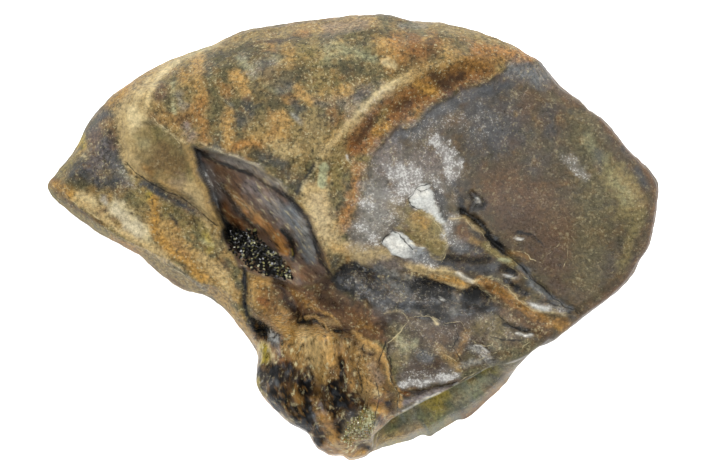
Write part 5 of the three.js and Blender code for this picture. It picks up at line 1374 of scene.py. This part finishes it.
# Lines finer than the mesh: pale mineral veins and dark cracks, and among them a painted highlight
# along the lip, another along a ridge, and a painted shade line at the foot of the lobe's edge.
PALE_HAIRS = [
    [(3.25, -1.4), (4.0, -1.65), (4.95, -1.65), (5.9, -2.15), (6.45, -2.6), (7.25, -3.15)],
    [(4.1, -1.8), (5.0, -2.1), (5.7, -2.3), (6.1, -2.25), (6.45, -1.85)],
    [(6.45, -1.85), (7.15, -2.15), (7.85, -2.65), (8.3, -3.1), (8.9, -3.6), (9.7, -3.45),
     (10.65, -3.75)],
    [(1.6, -3.7), (2.55, -3.7), (2.85, -4.05), (2.35, -4.65), (1.75, -5.25)],
    [(3.95, -3.9), (4.25, -4.35)],
    [(1.75, -5.25), (1.6, -5.7), (1.85, -6.65), (2.3, -8.2), (2.2, -8.9)],
    [(2.9, -3.95), (3.5, -3.75), (4.1, -3.9), (4.6, -4.2), (5.3, -4.15)],
    [(5.3, -4.15), (5.6, -4.6), (5.9, -5.1), (6.6, -5.4), (7.3, -5.25)],
    [(3.6, -5.3), (4.3, -5.5), (4.9, -5.9), (5.3, -6.4)],
    [(6.2, -6.1), (7.0, -5.8), (7.9, -5.5), (8.8, -5.2)],
    [(7.8, -0.65), (8.55, -0.65), (8.85, -1.05), (9.45, -1.2), (9.65, -0.85), (10.15, -0.4),
     (10.65, 0.15)],
    [(10.8, 0.05), (10.7, -0.55), (10.6, -1.3)],
    [(4.95, 1.0), (5.55, 0.95), (5.95, 0.45), (6.45, 0.25), (6.9, -0.4)],
    [(6.65, -0.4), (7.55, -1.2), (8.25, -1.7), (8.7, -1.95)],
    [(2.25, 0.75), (3.25, 1.4), (3.7, 1.2), (4.2, 0.7), (4.6, 0.1), (4.8, -0.35), (4.5, -1.15)],
    # Painted highlight along the edge of the lip.
    [(2.0, -8.95), (2.7, -8.55), (3.55, -8.05), (4.4, -7.7), (5.25, -7.25), (6.1, -6.8)],
    # Painted highlight along a thin ridge of the saddle.
    [(-10.2, 6.15), (-9.4, 5.45), (-8.5, 4.7)],
    [(-15.0, 2.6), (-14.3, 2.1), (-13.5, 1.5), (-12.6, 0.85), (-11.1, 0.1), (-10.2, -0.65),
     (-8.9, -1.55), (-7.3, -2.7), (-6.1, -3.6), (-5.2, -4.9), (-4.75, -6.0)],
]
DARK_HAIRS = [
    [(3.8, 2.7), (3.5, 2.6), (3.2, 2.5), (3.05, 2.15), (2.75, 1.9), (3.0, 1.6), (3.3, 1.4)],
    [(3.2, 2.5), (3.5, 2.3), (3.75, 2.45)],
    [(1.3, -0.4), (1.5, -0.1), (1.75, 0.2), (2.0, 0.42), (2.35, 0.2), (2.7, -0.2), (3.0, -0.55)],
    [(6.9, -0.1), (7.6, -0.75), (8.3, -1.35), (9.0, -2.0), (9.95, -3.0), (11.25, -3.75)],
    [(1.4, -6.05), (1.65, -5.15), (1.95, -6.3), (1.95, -7.0), (2.25, -7.95), (2.25, -8.9)],
    [(8.25, 0.35), (9.0, 0.2), (9.5, -0.3)],
    [(7.3, -3.9), (7.8, -4.3), (8.3, -4.6), (9.0, -4.8)],
    # Painted shade at the foot of the lobe's raised edge.
    [(-11.2, 3.75), (-10.4, 2.95), (-9.55, 2.45), (-8.75, 2.15), (-8.05, 1.75), (-7.45, 1.25),
     (-6.7, 0.65)],
    [(0.6, -5.3), (0.3, -6.3), (0.5, -7.5)],
    [(5.0, -4.4), (5.3, -4.9), (5.0, -5.4), (5.4, -6.0)],
    [(6.9, -4.9), (7.6, -5.1), (8.4, -5.05)],
    [(1.2, -7.2), (1.35, -8.2), (1.1, -9.2)],
]
HAIRS_REACH = (0.24, 0.12)


def hairs_near(lines):
    """Signed distance to the nearest line, and a mask that fades away from all of them."""
    offset = np.full(len(places), FAR)
    for line in lines:
        line_here = line_offset(line, spot_x, spot_y)
        offset = np.where(np.abs(line_here) < np.abs(offset), line_here, offset)
    return offset, smooth(*HAIRS_REACH, np.abs(offset)) * seen_from_front * (1 - on_ledge)


def store(attribute, field, values):
    """Keeps values on the mesh for the material to read."""
    attribute.data.foreach_set(field, values.astype(np.float32).ravel())


hairs = np.stack([*hairs_near(PALE_HAIRS), *hairs_near(DARK_HAIRS)], axis=-1)
opaque_skin = np.hstack([skin, np.ones((len(skin), 1))])
store(mesh.color_attributes.new("hairs", "FLOAT_COLOR", "POINT"), "color", hairs)
store(mesh.color_attributes.new("skin", "FLOAT_COLOR", "POINT"), "color", opaque_skin)
store(mesh.attributes.new("grain_place", "FLOAT_VECTOR", "POINT"), "vector", grain_place)
for name, values in [("roughness", roughness), ("grit", grit), ("frost_and_sheen", frost_and_sheen), ("shine", shine)]:
    store(mesh.attributes.new(name, "FLOAT", "POINT"), "value", values)

# The material of the tooth, with grain and specks finer than the mesh over its own colours. Those
# colours hold painted highlights, glints, sheen and shade too.
RUST = "#84602C"
SPECKS = "#C4BA90"
PITS = "#292519"
FROST_AND_SHEEN_HAZE = "#A09D99"
GRAIN_AND_GLINT_WHITE = "#CCCBC5"
CRACK_AND_SHADE_TONE = "#1B1916"
VEIN_AND_HIGHLIGHT_TONE = "#CDBE92"
CRACK_AND_SHADE_HALF_WIDTH = 0.05
VEIN_AND_HIGHLIGHT_HALF_WIDTH = 0.02
CRACK_AND_SHADE_COVER = 0.9
VEIN_AND_HIGHLIGHT_COVER = 0.6
BUMP_STRENGTH = 0.7
BUMP_HEIGHT = 0.05

# A mix node has sockets for several kinds of value. These are the ones for colours.
FIRST_COLOUR = 6
SECOND_COLOUR = 7
MIXED_COLOUR = 2

fossil = bpy.data.materials.new("fossil")
fossil.use_nodes = True
nodes, links = fossil.node_tree.nodes, fossil.node_tree.links
shader = nodes["Principled BSDF"]


def node(kind, **settings):
    """A new shader node with these settings."""
    made = nodes.new(kind)
    for name, value in settings.items():
        setattr(made, name, value)
    return made


def feed(socket, value):
    """Sets a plain number or colour, or links the output of another node."""
    if isinstance(value, (int, float, tuple)):
        socket.default_value = value
    else:
        links.new(value, socket)


def attribute(name):
    """What the mesh keeps under this name."""
    return node("ShaderNodeAttribute", attribute_name=name)


def grain(size, detail, crispness):
    """Noise with lumps of this size in millimetres."""
    noise = node("ShaderNodeTexNoise")
    for name, value in [("Scale", 1 / size), ("Detail", detail), ("Roughness", crispness),
                        ("Vector", grain_source)]:
        feed(noise.inputs[name], value)
    return noise.outputs["Fac"]


def mapped(value, low, high, to_low, to_high):
    """The value, with low to high stretched to run from to_low to to_high."""
    ranged = node("ShaderNodeMapRange")
    for name, number in [("Value", value), ("From Min", low), ("From Max", high),
                         ("To Min", to_low), ("To Max", to_high)]:
        feed(ranged.inputs[name], number)
    return ranged.outputs["Result"]


def maths(operation, first, second):
    """What the operation makes of two values."""
    made = node("ShaderNodeMath", operation=operation)
    feed(made.inputs[0], first)
    feed(made.inputs[1], second)
    return made.outputs["Value"]


def plus(first, second):
    """The sum of two values."""
    return maths("ADD", first, second)


def times(first, second):
    """The product of two values."""
    return maths("MULTIPLY", first, second)


def mixed(blend, share, first, second):
    """Two colours mixed in this share of the second."""
    made = node("ShaderNodeMix", data_type="RGBA", blend_type=blend)
    feed(made.inputs["Factor"], share)
    feed(made.inputs[FIRST_COLOUR], first)
    feed(made.inputs[SECOND_COLOUR], second)
    return made.outputs[MIXED_COLOUR]


def covered(base, share, colour):
    """The base with this share of a hex colour over it."""
    return mixed("MIX", share, base, (*tone(colour).tolist(), 1))


grain_source = attribute("grain_place").outputs["Vector"]
skin_colour = attribute("skin").outputs["Color"]
grit_value = attribute("grit").outputs["Fac"]
frost_and_sheen_value = attribute("frost_and_sheen").outputs["Fac"]
fine = grain(size=0.2, detail=6, crispness=0.75)
specks = grain(size=0.14, detail=4, crispness=0.7)
pits = grain(size=0.26, detail=6, crispness=0.75)
patches = grain(size=0.55, detail=6, crispness=0.7)
grain_and_glint_noise = grain(size=0.1, detail=5, crispness=0.7)
clusters = mapped(patches, 0.4, 0.6, -0.07, 0.03)

# Light and dark grain over the skin's own colour, then rusty patches, pale specks and dark pits.
shaded = mixed("MULTIPLY", 1.0, skin_colour, mapped(fine, 0.36, 0.64, 0.25, 1.75))
colour = mixed("MIX", plus(times(grit_value, 0.55), 0.4), skin_colour, shaded)
colour = covered(colour, times(mapped(patches, 0.5, 0.64, 0, 0.4), grit_value), RUST)
speck_share = mapped(plus(specks, clusters), 0.55, 0.66, 0, 0.7)
colour = covered(colour, times(speck_share, grit_value), SPECKS)
colour = covered(colour, times(mapped(pits, 0.46, 0.34, 0, 0.8), grit_value), PITS)

# Frost and painted sheen: a grey haze with sugary white grains in it, partly frost of fine crystals
# and partly a painted reflection with painted glints.
frost_and_sheen_haze_share = times(mapped(frost_and_sheen_value, 0, 0.8, 0, 1), mapped(patches, 0.38, 0.62, 0.45, 0.95))
colour = covered(colour, frost_and_sheen_haze_share, FROST_AND_SHEEN_HAZE)
grain_and_glint_share = mapped(plus(plus(grain_and_glint_noise, clusters), times(frost_and_sheen_value, 0.12)), 0.575, 0.645, 0, 1)
colour = covered(colour, times(grain_and_glint_share, mapped(frost_and_sheen_value, 0, 0.3, 0.02, 0.85)), GRAIN_AND_GLINT_WHITE)

# Cracks and veins, with the painted highlight and shade lines among them, thicker and thinner along
# the way.
hair_values = node("ShaderNodeSeparateColor")
hair_attribute = attribute("hairs")
links.new(hair_attribute.outputs["Color"], hair_values.inputs["Color"])
thickness_noise = mapped(patches, 0.35, 0.65, -0.015, 0.03)


def hair_share(offset, nearby, half_width):
    """1 within about the half width of a hair line."""
    distance = plus(maths("ABSOLUTE", offset, 0), thickness_noise)
    return times(mapped(distance, half_width, 0.3 * half_width, 0, 1), nearby)


cracks_and_shade_lines = hair_share(
    hair_values.outputs["Blue"], hair_attribute.outputs["Alpha"], CRACK_AND_SHADE_HALF_WIDTH)
veins_and_highlight_lines = hair_share(hair_values.outputs["Red"], hair_values.outputs["Green"], VEIN_AND_HIGHLIGHT_HALF_WIDTH)
colour = covered(colour, times(cracks_and_shade_lines, CRACK_AND_SHADE_COVER), CRACK_AND_SHADE_TONE)
colour = covered(colour, times(veins_and_highlight_lines, VEIN_AND_HIGHLIGHT_COVER), VEIN_AND_HIGHLIGHT_TONE)
feed(shader.inputs["Base Color"], colour)
uneven_roughness = plus(attribute("roughness").outputs["Fac"], mapped(fine, 0.3, 0.7, -0.1, 0.1))
feed(shader.inputs["Roughness"], uneven_roughness)
feed(shader.inputs["Specular IOR Level"], attribute("shine").outputs["Fac"])
bump = node("ShaderNodeBump")
feed(bump.inputs["Strength"], BUMP_STRENGTH)
feed(bump.inputs["Distance"], BUMP_HEIGHT * MM)
feed(bump.inputs["Height"], plus(fine, pits))
feed(shader.inputs["Normal"], bump.outputs["Normal"])
mesh.materials.append(fossil)
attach(tooth, "root")
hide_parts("tooth")


# ==== Crystals in the hollow ====
# Tiny black mineral crystals that grew in the deep end of the pulp hollow when the tooth turned
# to stone, with a few clear yellow ones among them. They are grown onto the tooth's surface.

CRYSTAL_PATCH = [
    (-6.35, 0.4), (-6.0, 0.6), (-5.3, 0.4), (-4.7, 0.5), (-4.6, 0.0), (-4.1, -0.5), (-3.5, -0.9),
    (-3.1, -1.5), (-2.9, -2.1), (-3.4, -2.1), (-4.4, -1.85), (-5.0, -1.6), (-5.6, -1.1),
    (-6.1, -0.6),
]
THIN_EDGE = 0.1
CRYSTAL_ROUGHNESS = 0.2
SIDE_PROPORTIONS = (0.6, 1.3)
CRYSTAL_CORNERS = np.array(list(np.ndindex(2, 2, 2))) * 2 - 1
CRYSTAL_FACES = np.array([
    (0, 1, 3, 2), (4, 6, 7, 5), (0, 4, 5, 1), (2, 3, 7, 6), (0, 2, 6, 4), (1, 5, 7, 3)])
front_points = points[1:1 + FRONT_RINGS * COLUMNS]


def crystal_crust(name, patch, count, sizes, colours, seed):
    """One mesh of small block crystals, each at its own tilt, half sunk in the tooth."""
    draw = np.random.default_rng(seed)
    low, high = np.min(patch, axis=0), np.max(patch, axis=0)
    corners, tints = [], []
    while len(corners) < count:
        x, y = draw.uniform(low, high)
        if depth_inside(patch, x, y) < draw.exponential(THIN_EDGE):
            continue
        nearest = np.argmin(np.hypot(*(front_points[:, :2] / MM - (x, y)).T))
        turn, _ = np.linalg.qr(draw.normal(size=(3, 3)))
        half_sides = draw.uniform(*SIDE_PROPORTIONS, 3) * draw.uniform(*sizes) / 2 * MM
        corners.append(front_points[nearest] + (CRYSTAL_CORNERS * half_sides) @ turn)
        tints.append(tone(colours[draw.integers(len(colours))]))
    corner_count = len(CRYSTAL_CORNERS)
    faces = [CRYSTAL_FACES + corner_count * number for number in range(count)]
    crust_mesh = bpy.data.meshes.new(name)
    crust_mesh.from_pydata(np.vstack(corners).tolist(), [], np.vstack(faces).tolist())
    crust_mesh.validate()
    tints = np.repeat(tints, corner_count, axis=0)
    crust_colours = crust_mesh.color_attributes.new("skin", "FLOAT_COLOR", "POINT")
    store(crust_colours, "color", np.hstack([tints, np.ones((len(tints), 1))]))
    crust = bpy.data.objects.new(name, crust_mesh)
    bpy.context.collection.objects.link(crust)
    gloss = bpy.data.materials.new(name + "_gloss")
    gloss.use_nodes = True
    skin_node = gloss.node_tree.nodes.new("ShaderNodeAttribute")
    skin_node.attribute_name = "skin"
    crystal_shader = gloss.node_tree.nodes["Principled BSDF"]
    gloss.node_tree.links.new(skin_node.outputs["Color"], crystal_shader.inputs["Base Color"])
    crystal_shader.inputs["Roughness"].default_value = CRYSTAL_ROUGHNESS
    crust_mesh.materials.append(gloss)
    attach(crust, "root")


BLACK_CRYSTALS = ["#0C0C0B"] * 18
YELLOW_CRYSTALS = ["#24221A", "#3A3720", "#5E5A32", "#8F8B5E", "#B4B08A"]
crystal_crust("hollow_crystals", CRYSTAL_PATCH, count=900, sizes=(0.05, 0.12),
              colours=BLACK_CRYSTALS + YELLOW_CRYSTALS, seed=7)


# ==== Sugary crystals at the foot ====
# Grains of yellow-green mineral that crust the broken foot of the root stub. They are made like
# the crystals in the hollow, but smaller and paler.

FOOT_PATCH = [
    (-0.3, -9.3), (0.2, -8.8), (0.6, -8.4), (1.15, -8.7), (1.15, -9.6), (0.9, -10.1),
    (0.3, -10.0), (0.0, -10.4), (-0.5, -10.2),
]
SUGARY_COLOURS = ["#7D7746", "#94905E", "#6E6B3C", "#B0AC82", "#5A5634", "#C2BE96", "#8A6C34"]
crystal_crust("foot_crystals", FOOT_PATCH, count=600, sizes=(0.03, 0.08),
              colours=SUGARY_COLOURS, seed=8)


# ==== Floor, light and camera ====
# A plain pale floor under a soft tent of light, with five round lamps. The camera looks at the
# tooth from straight above.

FLOOR_SIZE = 2
FLOOR_PAINT = {
    "Base Color": (0.9, 0.9, 0.9, 1), "Roughness": 0.9,
    "Emission Color": (1, 1, 1, 1), "Emission Strength": 1.0,
}
TENT_LIGHT = {"Color": (1, 1, 1, 1), "Strength": 0.25}

# Lamps as (name, place, width, power), all aimed at the tooth.
SOFTBOXES = [
    ("key", (0.02, 0.17, 0.28), 0.12, 0.62),
    ("left", (-0.28, 0.03, 0.16), 0.16, 0.24),
    ("right", (0.28, 0.05, 0.2), 0.16, 0.24),
    ("near", (0.0, -0.26, 0.2), 0.16, 0.2),
    ("sheen", (0.16, 0.06, 0.30), 0.06, 0.22),
]

IMAGE_WIDTH = 708
PIXELS_PER_MM = 20
LENS = 400
SENSOR = 36
VIEW_MIDDLE = (0.0001, 0.00007, 0.006)
CLIP_START = 0.01
CLIP_END = 10

bpy.ops.mesh.primitive_plane_add(size=FLOOR_SIZE)
floor = bpy.context.object
floor.name = "floor"
floor_paint = bpy.data.materials.new("floor_paint")
floor_paint.use_nodes = True
for socket, value in FLOOR_PAINT.items():
    floor_paint.node_tree.nodes["Principled BSDF"].inputs[socket].default_value = value
floor.data.materials.append(floor_paint)

world = bpy.data.worlds.new("tent")
bpy.context.scene.world = world
world.use_nodes = True
for socket, value in TENT_LIGHT.items():
    world.node_tree.nodes["Background"].inputs[socket].default_value = value

for name, place, width, power in SOFTBOXES:
    light = bpy.data.lights.new(name, "AREA")
    light.shape = "DISK"
    light.size = width
    light.energy = power
    lamp = bpy.data.objects.new(name, light)
    bpy.context.collection.objects.link(lamp)
    lamp.location = place
    tilt = math.atan2(math.hypot(place[0], place[1]), place[2])
    lamp.rotation_euler = (0, tilt, math.atan2(place[1], place[0]))

camera_data = bpy.data.cameras.new("camera")
camera_data.lens = LENS
camera_data.sensor_width = SENSOR
camera_data.clip_start = CLIP_START
camera_data.clip_end = CLIP_END
camera = bpy.data.objects.new("camera", camera_data)
bpy.context.collection.objects.link(camera)
view_width = IMAGE_WIDTH / PIXELS_PER_MM * MM
camera.location = np.add(VIEW_MIDDLE, (0, 0, view_width * LENS / SENSOR))
bpy.context.scene.camera = camera
bpy.context.scene.view_settings.view_transform = "Standard"
